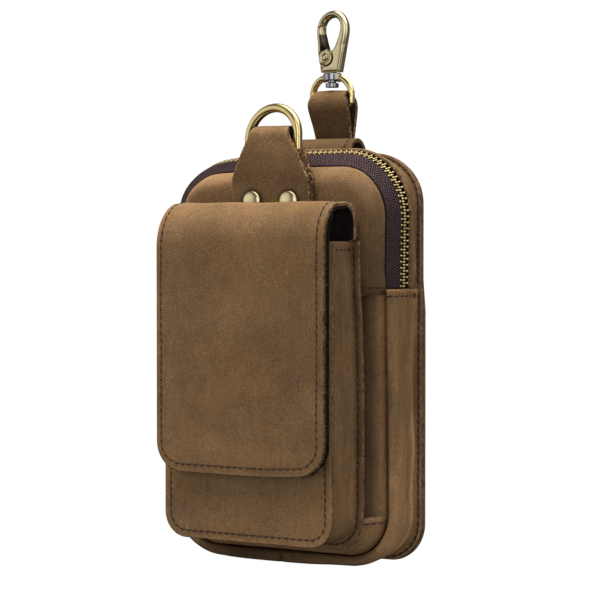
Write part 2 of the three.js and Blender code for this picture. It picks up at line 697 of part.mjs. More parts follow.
function gate() {
  const { base, thickness, bevel } = HOOK;
  const { lobe, bore, reach, tongue } = GATE_PIVOT;
  const through = 3 * thickness;
  const lever = solid(plate(hookOutline(), thickness, SWIVEL.y, bevel))
    .subtract(solid(plate(eyeOutline(), through, SWIVEL.y)))
    .intersect(solid(plate(gateSector(reach), through, SWIVEL.y)));
  const made = lever
    .add(pivotDisc(lobe, thickness))
    .subtract(pivotDisc(lobe + 0.3, tongue + 2 * GAP))
    .subtract(pivotDisc(bore, through));
  return geometryOf(made).translate(0, 0, base);
}

function gatePin() {
  const { x, z, pin } = GATE_PIVOT;
  return bar("y", pin, HOOK.thickness + 0.4, vector(x, SWIVEL.y, HOOK.base + z));
}

// Assembly: every piece is one named mesh.
const origin = vector(0, LOOP.arch.y, LOOP.arch.z + LOOP.arch.radius - LOOP.thickness / 2);
const bag = new THREE.Group();
bag.position.copy(origin).negate();

function addPiece(name, colour, geometry) {
  const mesh = new THREE.Mesh(geometry, new THREE.MeshStandardMaterial(COLOURS[colour]));
  mesh.name = name;
  bag.add(mesh);
}

addPiece("back_panel", "leather", backPanel());
addPiece("gusset_lower_left", "leather", runWall(LOWER_GUSSET, HEM_Z, GUSSET_LEATHER, puffed, -1));
addPiece("gusset_lower_right", "leather", runWall(LOWER_GUSSET, HEM_Z, GUSSET_LEATHER, puffed, 1));
addPiece("gusset_upper", "leather", runWall(UPPER_GUSSET, HEM_Z + GAP, GUSSET_LEATHER, puffed));
addPiece("zip_tape_front", "tape", runWall(FRONT_TAPE, HEM_Z + GAP, TAPE_CLOTH, puffed));
addPiece("zip_tape_rear", "tape", runWall(REAR_TAPE, HEM_Z + GAP, TAPE_CLOTH, puffed));
addPiece("zip_teeth", "brass", runWall(TEETH, HEM_Z + GAP, TEETH_THICKNESS, puffed));
addPiece("zip_slider", "brass", zipSlider());
addPiece("panel_upper", "leather", panelUpper());
addPiece("panel_middle", "leather", panelMiddle());
addPiece("panel_lower", "leather", panelLower());
addPiece("pouch_front", "leather", pouchFront());
addPiece("pouch_gusset", "leather", runWall(POUCH_GUSSET, POUCH.top, GUSSET_LEATHER));
addPiece("flap", "leather", flap());
addPiece("flap_lining", "lining", flapLining());
addPiece("ring_tab", "leather", ringTab());
addPiece("d_ring", "brass", dRing(D_RING, TAB_Y, 10));
addPiece("rivet_left", "brass", rivet(-1));
addPiece("rivet_right", "brass", rivet(1));
addPiece("belt_loop", "leather", beltLoop());
addPiece("hook_strap", "leather", hookStrap());
addPiece("swivel_ring", "brass", swivelRing());
addPiece("hook_body", "brass", hookBody());
addPiece("gate", "brass", gate());
addPiece("gate_pin", "brass", gatePin());

const beltBag = new THREE.Group();
beltBag.add(bag);

export default beltBag;
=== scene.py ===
"""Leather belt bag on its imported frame: leather, lining, zip, stitching and brass, with a plain studio."""

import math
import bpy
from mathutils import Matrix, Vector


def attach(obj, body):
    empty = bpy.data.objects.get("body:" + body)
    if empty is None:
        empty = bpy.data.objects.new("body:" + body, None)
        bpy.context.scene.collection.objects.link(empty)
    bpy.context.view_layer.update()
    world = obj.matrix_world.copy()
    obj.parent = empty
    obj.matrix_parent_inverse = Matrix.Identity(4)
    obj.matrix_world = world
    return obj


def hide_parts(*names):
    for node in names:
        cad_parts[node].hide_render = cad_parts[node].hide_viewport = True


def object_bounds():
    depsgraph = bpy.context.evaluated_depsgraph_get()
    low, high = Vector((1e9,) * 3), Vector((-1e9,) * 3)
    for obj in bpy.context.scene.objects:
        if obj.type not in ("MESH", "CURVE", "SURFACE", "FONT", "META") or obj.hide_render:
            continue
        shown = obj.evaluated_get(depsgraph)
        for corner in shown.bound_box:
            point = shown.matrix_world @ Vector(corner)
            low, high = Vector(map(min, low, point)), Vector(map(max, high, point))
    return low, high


bl_info = {
    "name": "Leather belt bag",
    "version": (1, 0, 0),
    "blender": (4, 5, 0),
    "location": "View3D > Sidebar > Belt bag",
    "description": "Builds the leather, zip, stitching and brass of a belt bag on its packed frame",
    "category": "Add Mesh",
}

import bpy
import numpy as np
from mathutils import Vector, kdtree, noise
from mathutils.bvhtree import BVHTree

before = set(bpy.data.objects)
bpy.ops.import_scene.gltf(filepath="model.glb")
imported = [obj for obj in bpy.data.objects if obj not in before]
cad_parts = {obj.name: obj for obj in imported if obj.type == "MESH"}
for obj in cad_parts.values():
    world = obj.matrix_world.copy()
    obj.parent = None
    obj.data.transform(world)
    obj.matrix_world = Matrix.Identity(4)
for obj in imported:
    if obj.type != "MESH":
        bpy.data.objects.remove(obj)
CAD_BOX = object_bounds()

# Sizes of the bag in millimetres, from the lower edge of the back panel's rear face
BELT_LOOP_TOP = np.array((0.0, 16.1, 186.3))
LEATHER = 1.8
STOUT_LEATHER = 2.0
GUSSET_LEATHER = 1.6
TAPE_CLOTH = 0.9
LINING_CLOTH = 0.8
GAP = 0.3
FORWARDS = np.array((0, -1, 0))
BACKWARDS = np.array((0, 1, 0))
QUARTER_TURN = np.radians(np.linspace(0, 90, 19))

# Points inside the folded pieces, which their outer faces turn away from
MAIN_HUB = np.array((0, -12, 90))
POUCH_HUB = np.array((0, -38, 75))
FLAP_HUB = np.array((0, -40, 110))
TAB_HUB = np.array((0, -29.2, 170))
LOOP_HUB = np.array((0, 12, 140))
STRAP_HUB = np.array((0, 25.4, 190))

# Outlines: half width, bottom, top, lower and upper corner radius
BACK_PANEL = (62.3, 0.0, 181.0, 17.0, 23.5)
FRONT_PANEL = (54.5, 3.0, 174.0, 20.0, 23.0)
POUCH = (43.4, 9.8, 141.0, 11.0, 0.001)

# Panels of the main pouch
BACK_TOP_HALF_WIDTH = 61.2
PANEL_EDGE_Y = -20.0
PLATEAU_Y = -27.0
SHOULDER = 10.0
UPPER_SEAM_Z = 118.2
LOWER_SEAM_Z = 21.6
SEAM_STEP = 0.8
SEAM_LAPS = (3.5, 1.5)

# Side walls and zip: where they are sewn, and how far they puff at a height
FLANGE_Y = -3.7
HEM_Z = 120.5
PUFF = ((-3, 0.9), (60, 0.98), (125, 1.07), (182, 0.98))
LEG_STEPS = 60
CORNER_STEPS = 26
FAR_SIDE_STEPS = 49

# How the soft leather settles: how far, and the stretches of x, y or z over which it sets in
SETTLE = 2.6
SETTLE_LEFT = (4, 34)
SETTLE_Z = (158, 180)
BACK_SETTLE = 1.2
BACK_SETTLE_RIGHT = (2, 24)
BACK_SETTLE_Y = (-8, -4)
SHOULDER_LEAN = 1.2
SHOULDER_Z = (125, 150)
PANEL_SIDE = (36, 54)
RIGHT_TUCK = 0.9
RIGHT_TUCK_Z = (118, 130)
LOWER_PANEL_SAG = 2.0
BOTTOM_SAG = 2.2
BOTTOM_RIDGE = 0.7
UPPER_STRIP_SAG = 0.9
CREASE_DEPTH = 1.1
LEG_X = (40, 56)

# Folds of the gussets and the zip: y, half width, far side, corner radius, half width at the hem
LOWER_GUSSET = (
    (-20.2, 54.9, 2.6, 20.4, 54.9),
    (-22.2, 55.4, 2.1, 20.8, 55.4),
    (-23.0, 57.2, 0.4, 22.6, 57.2),
    (-21.6, 59.4, -1.4, 25.0, 59.4),
    (-18.0, 60.4, -2.0, 26.0, 60.4),
    (-10.5, 60.4, -1.3, 25.4, 60.4),
    (-6.6, 60.2, 0.7, 22.0, 60.2),
    (-3.7, 60.0, 2.2, 19.0, 60.0),
    (-3.7, 62.2, 0.1, 17.2, 62.2),
)
UPPER_GUSSET = (
    (-9.8, 60.9, 182.4, 29.4, 60.7),
    (-7.2, 60.2, 181.6, 28.0, 60.0),
    (-3.7, 59.9, 179.7, 23.2, 59.9),
    (-3.7, 61.4, 181.1, 23.4, 61.4),
)
FRONT_TAPE = (
    (-19.9, 54.3, 174.4, 23.4, 54.3),
    (-14.4, 58.2, 180.1, 28.6, 57.8),
    (-12.8, 58.3, 179.8, 28.2, 57.9),
)
REAR_TAPE = (
    (-12.4, 58.3, 179.8, 28.0, 57.9),
    (-9.5, 58.4, 179.8, 27.4, 58.2),
    (-6.6, 57.0, 178.0, 25.6, 57.0),
)
TEETH = (
    (-14.3, 58.6, 180.4, 28.9, 58.3),
    (-10.9, 60.2, 181.5, 30.2, 59.9),
)
POUCH_GUSSET = (
    (-46.5, 42.9, 10.3, 10.5, 42.9),
    (-30.4, 42.3, 10.9, 9.9, 42.3),
    (-28.9, 42.5, 10.7, 10.0, 42.5),
    (-28.9, 46.5, 6.6, 14.0, 46.5),
)

# One tooth of the zip: distance from the chain's middle, half width, half height
TOOTH = (
    (2.35, 0.4, 0.36), (2.25, 0.52, 0.55), (1.3, 0.52, 0.55), (1.15, 0.34, 0.36),
    (0.7, 0.36, 0.4), (0.5, 0.48, 0.52), (-0.7, 0.48, 0.52), (-0.85, 0.3, 0.32),
)
TOOTH_SINK = 0.45

# Slider: distance out from the chain, height, half width, half thickness
SLIDER_Z = 138.0
SLIDER_BODY = (
    (0.5, 5.2, 2.4, 0.5), (0.5, 4.9, 3.3, 1.0), (0.5, 3.6, 3.8, 1.3), (0.5, 0.0, 3.2, 1.3),
    (0.5, -3.6, 2.4, 1.3), (0.5, -4.8, 2.0, 1.0), (0.5, -5.1, 1.2, 0.5),
)
SLIDER_PULL = (
    (3.0, 1.2, 0.7, 0.3), (3.0, 0.9, 1.2, 0.5), (2.9, -1.0, 1.4, 0.5), (2.6, -4.5, 1.3, 0.5),
    (2.2, -9.0, 2.1, 0.5), (1.8, -13.4, 2.5, 0.5), (1.7, -14.6, 2.1, 0.45), (1.7, -15.0, 1.3, 0.3),
)
SLIDER_BRIDGE = (0.9, 0.45)

# Front pouch and flap
POUCH_Y = -48.6
POUCH_BELLY = 2.0
MOUTH_NARROWING = (0.2, 1.8)
FLAP_HALF_WIDTH = 43.6
FLAP_BOTTOM = 39.7
FLAP_CORNER = 13.0
FLAP_TAIL_HALF_WIDTH = 38.0
FLAP_TAIL_BOTTOM = 126.0
FLAP_TAIL_Z = (140.2, 142.6)
FLAP_BACK_Y = -28.4
FLAP_FRONT_Y = -53.9
FLAP_TOP = 157.5
FLAP_BACK_RADIUS = 8.1
FLAP_FRONT_BEND = (12.4, 16.0)
FLAP_LOOSE_BEND = (4.5, 3.0)
TAB_ROOM = 6.4
FLAP_RIGHT_LIFT = 1.3
FLAP_RIGHT_TUCK = 0.7
LINING_INSET = 0.5

# Ring tab: its widths are height and half width, its line is y and z, or centre and radius of a half turn
TAB_WIDTHS = ((150, 20.0), (169, 19.8), (175, 16.8), (180.4, 14.4), (186, 11.2), (188.2, 9.8), (192.5, 8.4))
TAB_LINE = (
    (-30.3, 151), (-30.3, 166), (-31.1, 173), (-31.4, 180), (-31.4, 186), ((-28.0, 188.1), 3.4),
    (-24.6, 180), (-26, 173), (-28.2, 166), (-28.2, 151),
)
TAB_X = 0.8
TAB_SIDE_SEAM = (20.15, -29.25)
TAB_SIDE_SEAM_Z = (152, 172)

# Brass of the tab
RING_Y = -28.0
RING_HALF_WIDTH = 12.7
RING_ARCH = 187.0
RING_RISE = 13.2
RING_LOW = 179.5
RING_CORNER = 3.0
RING_LEAN = 0.1
RING_WIRE = 2.0
RIVET_FACE_Y = -31.5
RIVET_Z = 159.0
RIVETS = {"left": -9.0, "right": 10.2}
RIVET_RADIUS = 4.5

# Belt loop and hook strap, with widths and lines as for the tab
LOOP_LINE = (
    (1.3, 138), (1.3, 148), (4.2, 163), (9.2, 180.4), ((16.1, 180.4), 6.9), (23, 162),
    (20.6, 140), (13, 112), (4.6, 88), (1.3, 74), (1.3, 60),
)
LOOP_WIDTHS = ((0, 18), (200, 18))
STRAP_LINE = (
    (25.2, 163), (25.2, 188), (22.6, 196), (19.5, 203), ((23.8, 205.5), 4.3),
    (28.1, 200), (27.1, 188), (27.1, 163),
)
STRAP_WIDTHS = ((160, 9.2), (190, 9.3), (199, 10.2), (204.5, 10.5), (207, 9.6), (208.6, 8.2), (210, 8.0))

# Snap hook: its outlines are x and height above its foot
PIVOT = (-2.2, 23.4, 225.9)
HOOK_BASE = 219.0
HOOK_LEAN = 0.054
LEAN_START = 229.3
HOOK_OUTLINE = (
    (-5.2, 0), (5.2, 0), (7.2, 10), (8.6, 16.5, 8.9, 20, 7.9, 22.6), (6.4, 26.6, 3.4, 28.5, 0.4, 28.5),
    (-4.2, 28.5, -8.2, 25.4, -8.2, 19), (-6.4, 6), (-5.2, 0),
)
HOOK_EYE = (
    (0.2, 9), (1.9, 11.2), (3.6, 16, 4.9, 19.5, 4.5, 21.6), (4, 24, 2.4, 25.2, 0.4, 25.2),
    (-2.6, 25.2, -4.6, 23, -4.4, 19), (-1.4, 9.6), (0.2, 9),
)
RING_SHOULDER_RISE = 0.8
PIN_GROOVE = 2.45
PIN_HEAD = (
    (2.3, 2.5), (2.3, 2.62), (2.2, 2.7), (1.75, 2.7), (1.65, PIN_GROOVE), (1.35, PIN_GROOVE), (1.25, 2.8),
    (0.8, 2.98), (0.15, 3.05),
)
PIN_SHANK = ((1.2, -2.4), (1.2, 2.4))

# Painted shade on the side of the gate's lever: its start is a distance from the pivot, its heights are above
# the belt loop
GATE_SIDE_SLOPE = 0.1385
GATE_SIDE_X = 1.04
LEVER_START = (3.8, 4.4)
LEVER_FADE_Z = (43.5, 48.0)
LEVER_TOP_Z = (50.0, 50.6)

# Stitching: how a thread lies, and the slants of the threads of a knot at the end of a short row
THREAD_LIFT = 0.17
THREAD_DIP = 0.48
THREAD_SLANT = 0.1
THREAD_FLATNESS = 0.62
NEEDLE_HOLE = 0.3
SHORT_ROW = 25
KNOT_SLANTS = (-1.4, -0.7, 0.4, 1.0, 2.5)
NO_SEAM = 50.0

# Loose fibres of a raw edge: how many a millimetre, how far they stray and how thick they are
FUZZ_DENSITY = 9
FUZZ_SCATTER = 0.25
FUZZ_SPREAD = 0.55
FUZZ_RADIUS = 0.15

# Metals that no setting changes
STEEL = (0.36, 0.36, 0.37, 1.0)
# Painted shade for the inner side of the D-ring and the groove of the gate pin
INNER_PAINTED_SHADE = (0.05, 0.034, 0.018, 1.0)

# White cards that the brass mirrors: direction, cosines of the full and the faded card, brightness
CARDS = (
    ((0.34, 0.1, 0.93), 0.98, 0.6, 3.0),
    ((0.4, -0.9, 0.17), 1.0, 0.88, 1.5),
    ((-0.74, -0.66, 0.1), 1.0, 0.76, 0.74),
    ((0.97, -0.17, 0.17), 1.0, 0.88, 1.2),
    ((0.3, -0.47, -0.83), 0.98, 0.86, 0.7),
    ((-0.85, 0.45, 0.27), 1.0, 0.75, 0.5),
)
CARD_GREY = 0.13
CARD_GREY_BELOW = 0.03

# Soft lights of the studio: direction and angle in degrees, with a setting of the same name for the strength
LIGHTS = {
    "key": ((-0.25, -0.1, 0.96), 50),
    "front": ((-0.55, -0.8, 0.15), 60),
    "side": ((0.95, -0.1, 0.3), 60),
    "low": ((0.85, -0.28, -0.42), 70),
    "back": ((-0.35, 0.9, 0.25), 60),
}
BACKDROP = 1.05
FLOOR_REACH = 20
FLOOR_GAP = 0.0005


# Lines and grids

def to_row(points):
    """Bag millimetres to metres from the inside top of the belt loop."""
    return (np.asarray(points, float) - BELT_LOOP_TOP) / 1000


def axes(grid):
    """x, y and z of a grid's points."""
    return np.moveaxis(grid, -1, 0)


def shifted(grid, x=0, y=0, z=0):
    """The grid moved along the axes, by one amount or by different amounts over it."""
    moved = np.array(grid, float)
    for axis, amount in enumerate((x, y, z)):
        moved[..., axis] += amount
    return moved


def unit(vectors):
    return vectors / np.maximum(np.linalg.norm(vectors, axis=-1, keepdims=True), 1e-9)


def smoothstep(value, low, high):
    """0 below low, 1 above high and smooth between them."""
    share = np.clip((value - low) / (high - low), 0, 1)
    return share * share * (3 - 2 * share)


def hump(value, centre, width):
    """1 at the centre, fading to 0 on both sides of it."""
    return np.exp(-(((value - centre) / width) ** 2))


def noise_at(*place):
    """Smooth noise from -1 to 1 at places given by three values or grids of values."""
    places = np.stack(np.broadcast_arrays(*place), -1)
    values = [noise.noise(Vector(p)) for p in places.reshape(-1, 3)]
    return np.reshape(values, places.shape[:-1])


def lengths_along(points):
    """Running length of a line at each of its points."""
    return np.concatenate(([0], np.cumsum(np.linalg.norm(np.diff(points, axis=0), axis=1))))


def sampled(values, lengths, places):
    """Values of a line's points at places given by the length along it."""
    return np.stack([np.interp(places, lengths, column) for column in values.T], 1)


def resampled(points, step=None, count=None):
    """The same line with even steps."""
    points = np.asarray(points, float)
    lengths = lengths_along(points)
    count = count or max(int(round(lengths[-1] / step)), 2) + 1
    return sampled(points, lengths, np.linspace(0, lengths[-1], count))


def eased(points, rounds):
    """The line with its corners softened and its ends kept."""
    points = np.array(points, float)
    for _ in range(rounds):
        points[1:-1] = 0.25 * points[:-2] + 0.5 * points[1:-1] + 0.25 * points[2:]
    return points


def arc(centre, radius, start, end, steps=20):
    angles = np.radians(np.linspace(start, end, steps + 1))
    return [(centre[0] + radius * math.cos(a), centre[1] + radius * math.sin(a)) for a in angles]


def curved(start, *parts):
    """Points along straight parts (x, z) and curved parts (two handles and an end)."""
    points = [np.array(start, float)]
    share = np.linspace(0, 1, 17)[1:, None]
    rest = 1 - share
    for part in parts:
        first = points[-1]
        ends = np.reshape(part, (-1, 2))
        if len(ends) == 1:
            points += list(first + (ends[0] - first) * share)
        else:
            outer = rest**3 * first + share**3 * ends[2]
            points += list(outer + 3 * rest**2 * share * ends[0] + 3 * rest * share**2 * ends[1])
    return np.array(points)


def rounded_section(radius, power, sides=20):
    """Section of a bar: round with power 1, and squarer with less."""
    angle = np.linspace(0, 2 * math.pi, sides, endpoint=False)
    wave = np.stack((np.cos(angle), np.sin(angle)), 1)
    return np.sign(wave) * np.abs(wave) ** power * radius


def puffed(y, z):
    """Depth of a fold at a height: the puff moves what lies in front of the sewn flange."""
    share = np.interp(z, *zip(*PUFF))
    return np.where(y >= FLANGE_Y, y, FLANGE_Y + (y - FLANGE_Y) * share)


def run_grid(rows, start, across, rounds=0, depth=puffed):
    """Grid of a strip that follows a leg, a corner, the far side, a corner and the other leg."""
    folds = eased(resampled(rows, count=across), rounds)
    y, half_width, end, radius, hem = folds.T[:, None, :]
    way = np.sign(end - start)
    corner_x = half_width - radius
    corner_z = end - way * radius
    leg = np.linspace(0, 1, LEG_STEPS, endpoint=False)[:, None]
    turn = np.linspace(0, math.pi / 2, CORNER_STEPS, endpoint=False)[:, None]
    cross = np.linspace(1, -1, FAR_SIDE_STEPS)[:, None]
    half_x = np.concatenate((hem + (half_width - hem) * leg, corner_x + radius * np.cos(turn)))
    half_z = np.concatenate((start + (corner_z - start) * leg, corner_z + way * radius * np.sin(turn)))
    x = np.concatenate((half_x, corner_x * cross, -half_x[::-1]))
    z = np.concatenate((half_z, end + 0 * cross, half_z[::-1]))
    return np.stack((x, depth(y + 0 * z, z), z), -1)


def outline_reach(outline, z):
    """Half width of a rounded outline at a height."""
    half_width, bottom, top, low_radius, high_radius = outline
    low = np.clip(bottom + low_radius - z, 0, low_radius)
    high = np.clip(z - top + high_radius, 0, high_radius)
    low_cut = low_radius - np.sqrt(low_radius**2 - low**2)
    high_cut = high_radius - np.sqrt(high_radius**2 - high**2)
    return half_width - low_cut - high_cut


def outline_heights(outline, step=1.6):
    """Heights of a grid's rows, close together where the corners turn."""
    _, bottom, top, low_radius, high_radius = outline
    low = bottom + low_radius * (1 - np.cos(QUARTER_TURN))
    high = top - high_radius * (1 - np.cos(QUARTER_TURN[::-1]))
    middle = np.linspace(low[-1], high[0], max(int((high[0] - low[-1]) / step), 2))
    return np.unique(np.round(np.concatenate((low, middle, high)), 4))


def spread(heights, reach, shares):
    """x and z of a grid with a row at each height, spread over its reach."""
    return shares[None, :] * reach[:, None], np.repeat(heights[:, None], len(shares), 1)


def strip_grid(line, widths, columns):
    """Grid of a strip that follows a line of (y, z) points down its middle."""
    half = eased(np.interp(line[:, 1], *zip(*widths)), 3)
    x = np.linspace(-1, 1, columns)[None, :] * half[:, None]
    y, z = (np.repeat(values[:, None], columns, 1) for values in line.T)
    return np.stack((x, y, z), -1)


def grid_normals(grid, outward):
    """Normals of a grid, all on the side that the outward vectors point to."""
    normals = unit(np.cross(np.gradient(grid, axis=1), np.gradient(grid, axis=0)))
    return normals * np.sign(np.sum(normals * outward))


def ripple(grid, outward, height, size, seed, still=6.0):
    """Soft unevenness of a worked hide, which dies out towards the borders."""
    sides = (grid[0], grid[-1], grid[:, 0], grid[:, -1])
    rim = np.concatenate([resampled(line, step=1.0) for line in sides])
    calm = smoothstep(distance_to(grid.reshape(-1, 3), rim), 0, still).reshape(grid.shape[:2])
    x, y, z = axes(grid / size)
    moved = height * calm * noise_at(x + seed, y, z)
    return grid + grid_normals(grid, outward) * moved[..., None]


def nearest(points, targets):
    """Index of the target nearest to each point, and the distance to it."""
    tree = kdtree.KDTree(len(targets))
    for i, target in enumerate(targets):
        tree.insert(target, i)
    tree.balance()
    _, index, distance = zip(*(tree.find(point) for point in points))
    return np.array(index), np.array(distance)


def distance_to(points, line):
    return nearest(points, line)[1]


def sheet_area(grid):
    """Area of a grid's face in square metres."""
    a, b = grid[1:, 1:] - grid[:-1, :-1], grid[1:, :-1] - grid[:-1, 1:]
    return float(np.sum(np.linalg.norm(np.cross(a, b), axis=-1)) / 2 / 1e6)


def quads(rows, columns, offset=0):
    a = np.arange(rows - 1)[:, None] * columns + np.arange(columns - 1)[None, :] + offset
    return np.stack((a, a + 1, a + columns + 1, a + columns), -1).reshape(-1, 4)


def loft(count, sides, start=0, joined=False):
    """Faces between rings of points: joined end to end, or with a cap at both ends."""
    here = np.arange(count * sides).reshape(count, sides) + start
    there = np.roll(here, -1, 1)
    faces = np.stack((here, there, np.roll(there, -1, 0), np.roll(here, -1, 0)), -1)
    if joined:
        return faces[..., ::-1].reshape(-1, 4).tolist()
    return faces[:-1].reshape(-1, 4).tolist() + [here[0, ::-1].tolist(), here[-1].tolist()]


# Pieces

def add_piece(name, points, faces, materials, slots=None, body="bag", stands_for=()):
    """New piece of the bag from points in bag millimetres, riding on a body of the frame."""
    mesh = bpy.data.meshes.new(name)
    mesh.from_pydata(to_row(points).tolist(), [], [tuple(face) for face in faces])
    return place_piece(name, mesh, materials, slots, body, stands_for)


def place_piece(name, mesh, materials, slots, body, stands_for):
    """A mesh as a piece of the bag, with its materials, body, slot and the nodes that it stands for."""
    for material in materials:
        mesh.materials.append(material)
    if slots is not None:
        mesh.polygons.foreach_set("material_index", np.asarray(slots, np.int32))
    mesh.polygons.foreach_set("use_smooth", np.ones(len(mesh.polygons), bool))
    mesh.update()
    piece = bpy.data.objects.new(name, mesh)
    bpy.context.scene.collection.objects.link(piece)
    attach(piece, body)
    if stands_for:
        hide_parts(*stands_for)
    return piece


def add_values(piece, name, values):
    """A value at each point of a piece, for its materials."""
    attribute = piece.data.attributes.new(name, "FLOAT", "POINT")
    attribute.data.foreach_set("value", np.asarray(values, np.float32))


class Sheet:
    """A cut of leather or cloth: its outer face as a grid, its thickness and a round cut edge."""

    ROUND = 3

    def __init__(self, grid, outward, thickness):
        self.grid = grid
        self.thickness = thickness
        self.normals = grid_normals(grid, outward)
        self.rows, self.columns = grid.shape[:2]
        self.seams = []
        self.lines = []
        flat = grid.reshape(-1, 3)
        self.face = BVHTree.FromPolygons([Vector(p) for p in flat], quads(self.rows, self.columns).tolist())

    def border(self):
        """Places of the border in order round the sheet."""
        rows, columns = self.rows, self.columns
        first = [(0, j) for j in range(columns - 1)]
        right = [(i, columns - 1) for i in range(rows - 1)]
        last = [(rows - 1, j) for j in range(columns - 1, 0, -1)]
        left = [(i, 0) for i in range(rows - 1, 0, -1)]
        return np.array(first + right + last + left)

    def inward(self, points, normals, closed):
        """Directions along the face from a line to the sheet's middle."""
        ahead = np.roll(points, -1, 0) - np.roll(points, 1, 0) if closed else np.gradient(points, axis=0)
        sideways = unit(np.cross(normals, unit(ahead)))
        middle = self.grid.reshape(-1, 3).mean(0)
        return sideways * np.sign(np.sum(sideways * (middle - points)))

    def side(self, *sides):
        """Points and normals of sides of the grid, in walking order; a minus turns a side round."""
        pick = {
            "first": (slice(0, 1), slice(None)),
            "last": (slice(-1, None), slice(None)),
            "left": (slice(None), slice(0, 1)),
            "right": (slice(None), slice(-1, None)),
        }
        points, normals = [], []
        for name in sides:
            order = -1 if name.startswith("-") else 1
            place = pick[name.lstrip("-")]
            points.append(self.grid[place].reshape(-1, 3)[::order])
            normals.append(self.normals[place].reshape(-1, 3)[::order])
        return np.concatenate(points), np.concatenate(normals)

    def sew(self, inset, *sides, trim=2.0, keep=None):
        """A row of stitches along sides of the sheet, that far in from them."""
        points, normals = self.side(*sides)
        apart = np.concatenate(([True], np.linalg.norm(np.diff(points, axis=0), axis=1) > 1e-4))
        points, normals = points[apart], normals[apart]
        if callable(inset):
            inset = inset(points)[:, None]
        inner = points + self.inward(points, normals, False) * inset
        line = eased(resampled(inner, step=0.8), 3)
        lengths = lengths_along(line)
        kept = (lengths > trim) & (lengths < lengths[-1] - trim)
        if keep is not None:
            kept &= keep(line)
        self.seams.append(distance_to(self.grid.reshape(-1, 3), resampled(line[kept], step=0.4)))
        self.lines.append(self.on_face(line[kept]))

    def on_face(self, line):
        """Points and normals of the outer face under a line."""
        hits = [self.face.find_nearest(Vector(p)) for p in line]
        points = np.array([hit[0] for hit in hits])
        normals = np.array([hit[1] for hit in hits])
        guide = self.normals.reshape(-1, 3)[nearest(points, self.grid.reshape(-1, 3))[0]]
        return points, normals * np.sign(np.sum(normals * guide, 1))[:, None]

    def edge_rings(self, edge, normals, bulge):
        """Rings of points that round the cut edge from the outer to the inner face."""
        outwards = -self.inward(edge, normals, True)
        rings = []
        for angle in (math.pi * k / (self.ROUND + 1) for k in range(1, self.ROUND + 1)):
            level = edge - normals * self.thickness / 2 * (1 - math.cos(angle))
            rings.append(level + outwards * bulge * math.sin(angle))
        return rings

    def make(self, name, materials, slot, stands_for, bulge=0.4, tone=1.0, drawn=0.0):
        """The sheet as a piece: outer face, round edge and inner face, with its values for the materials."""
        outer = self.grid.reshape(-1, 3)
        normals = self.normals.reshape(-1, 3)
        inner = outer - normals * self.thickness
        count = len(outer)
        places = self.border()
        border = places[:, 0] * self.columns + places[:, 1]
        edge = outer[border]
        points = np.concatenate((outer, inner, *self.edge_rings(edge, normals[border], bulge)))
        rings = [2 * count + k * len(border) + np.arange(len(border)) for k in range(self.ROUND)]
        loops = [border, *rings, border + count]
        rim = np.concatenate([
            np.stack((a, np.roll(a, -1), np.roll(b, -1), b), -1) for a, b in zip(loops, loops[1:])
        ])
        face = quads(self.rows, self.columns)
        back = quads(self.rows, self.columns, count)[:, ::-1]
        faces = np.concatenate((face, rim[:, ::-1], back))
        facing = np.cross(outer[face[:, 1]] - outer[face[:, 0]], outer[face[:, 3]] - outer[face[:, 0]])
        if np.sum(facing * normals[face[:, 0]]) < 0:
            faces = faces[:, ::-1]
        slots = np.repeat((0, 1, 2), (len(face), len(rim), len(back)))
        piece = add_piece(name, points, faces.tolist(), materials, slots, stands_for=stands_for)
        inset = distance_to(outer, resampled(np.concatenate((edge, edge[:1])), step=0.4))
        seam = np.minimum.reduce([np.full(count, NO_SEAM), *self.seams])
        shades, pull = (np.broadcast_to(value, self.grid.shape[:2]).ravel() for value in (tone, drawn))
        on_rim = np.ones(len(points) - 2 * count)
        add_values(piece, "edge", np.concatenate((inset, inset, 0 * on_rim)))
        add_values(piece, "seam", np.concatenate((seam, np.full(count, NO_SEAM), NO_SEAM * on_rim)))
        add_values(piece, "tone", np.concatenate((shades, shades, on_rim)))
        add_values(piece, "drawn", np.concatenate((pull, pull, 0 * on_rim)))
        return piece

    def make_leather(self, node, edge=None, **values):
        """The sheet as a piece of leather that stands for a node of the frame."""
        edge = edge or cut_edge_finish
        materials = (oiled_leather_finish(), edge(), suede_back_finish())
        return self.make(node + "_leather", materials, "leather", (node,), **values)


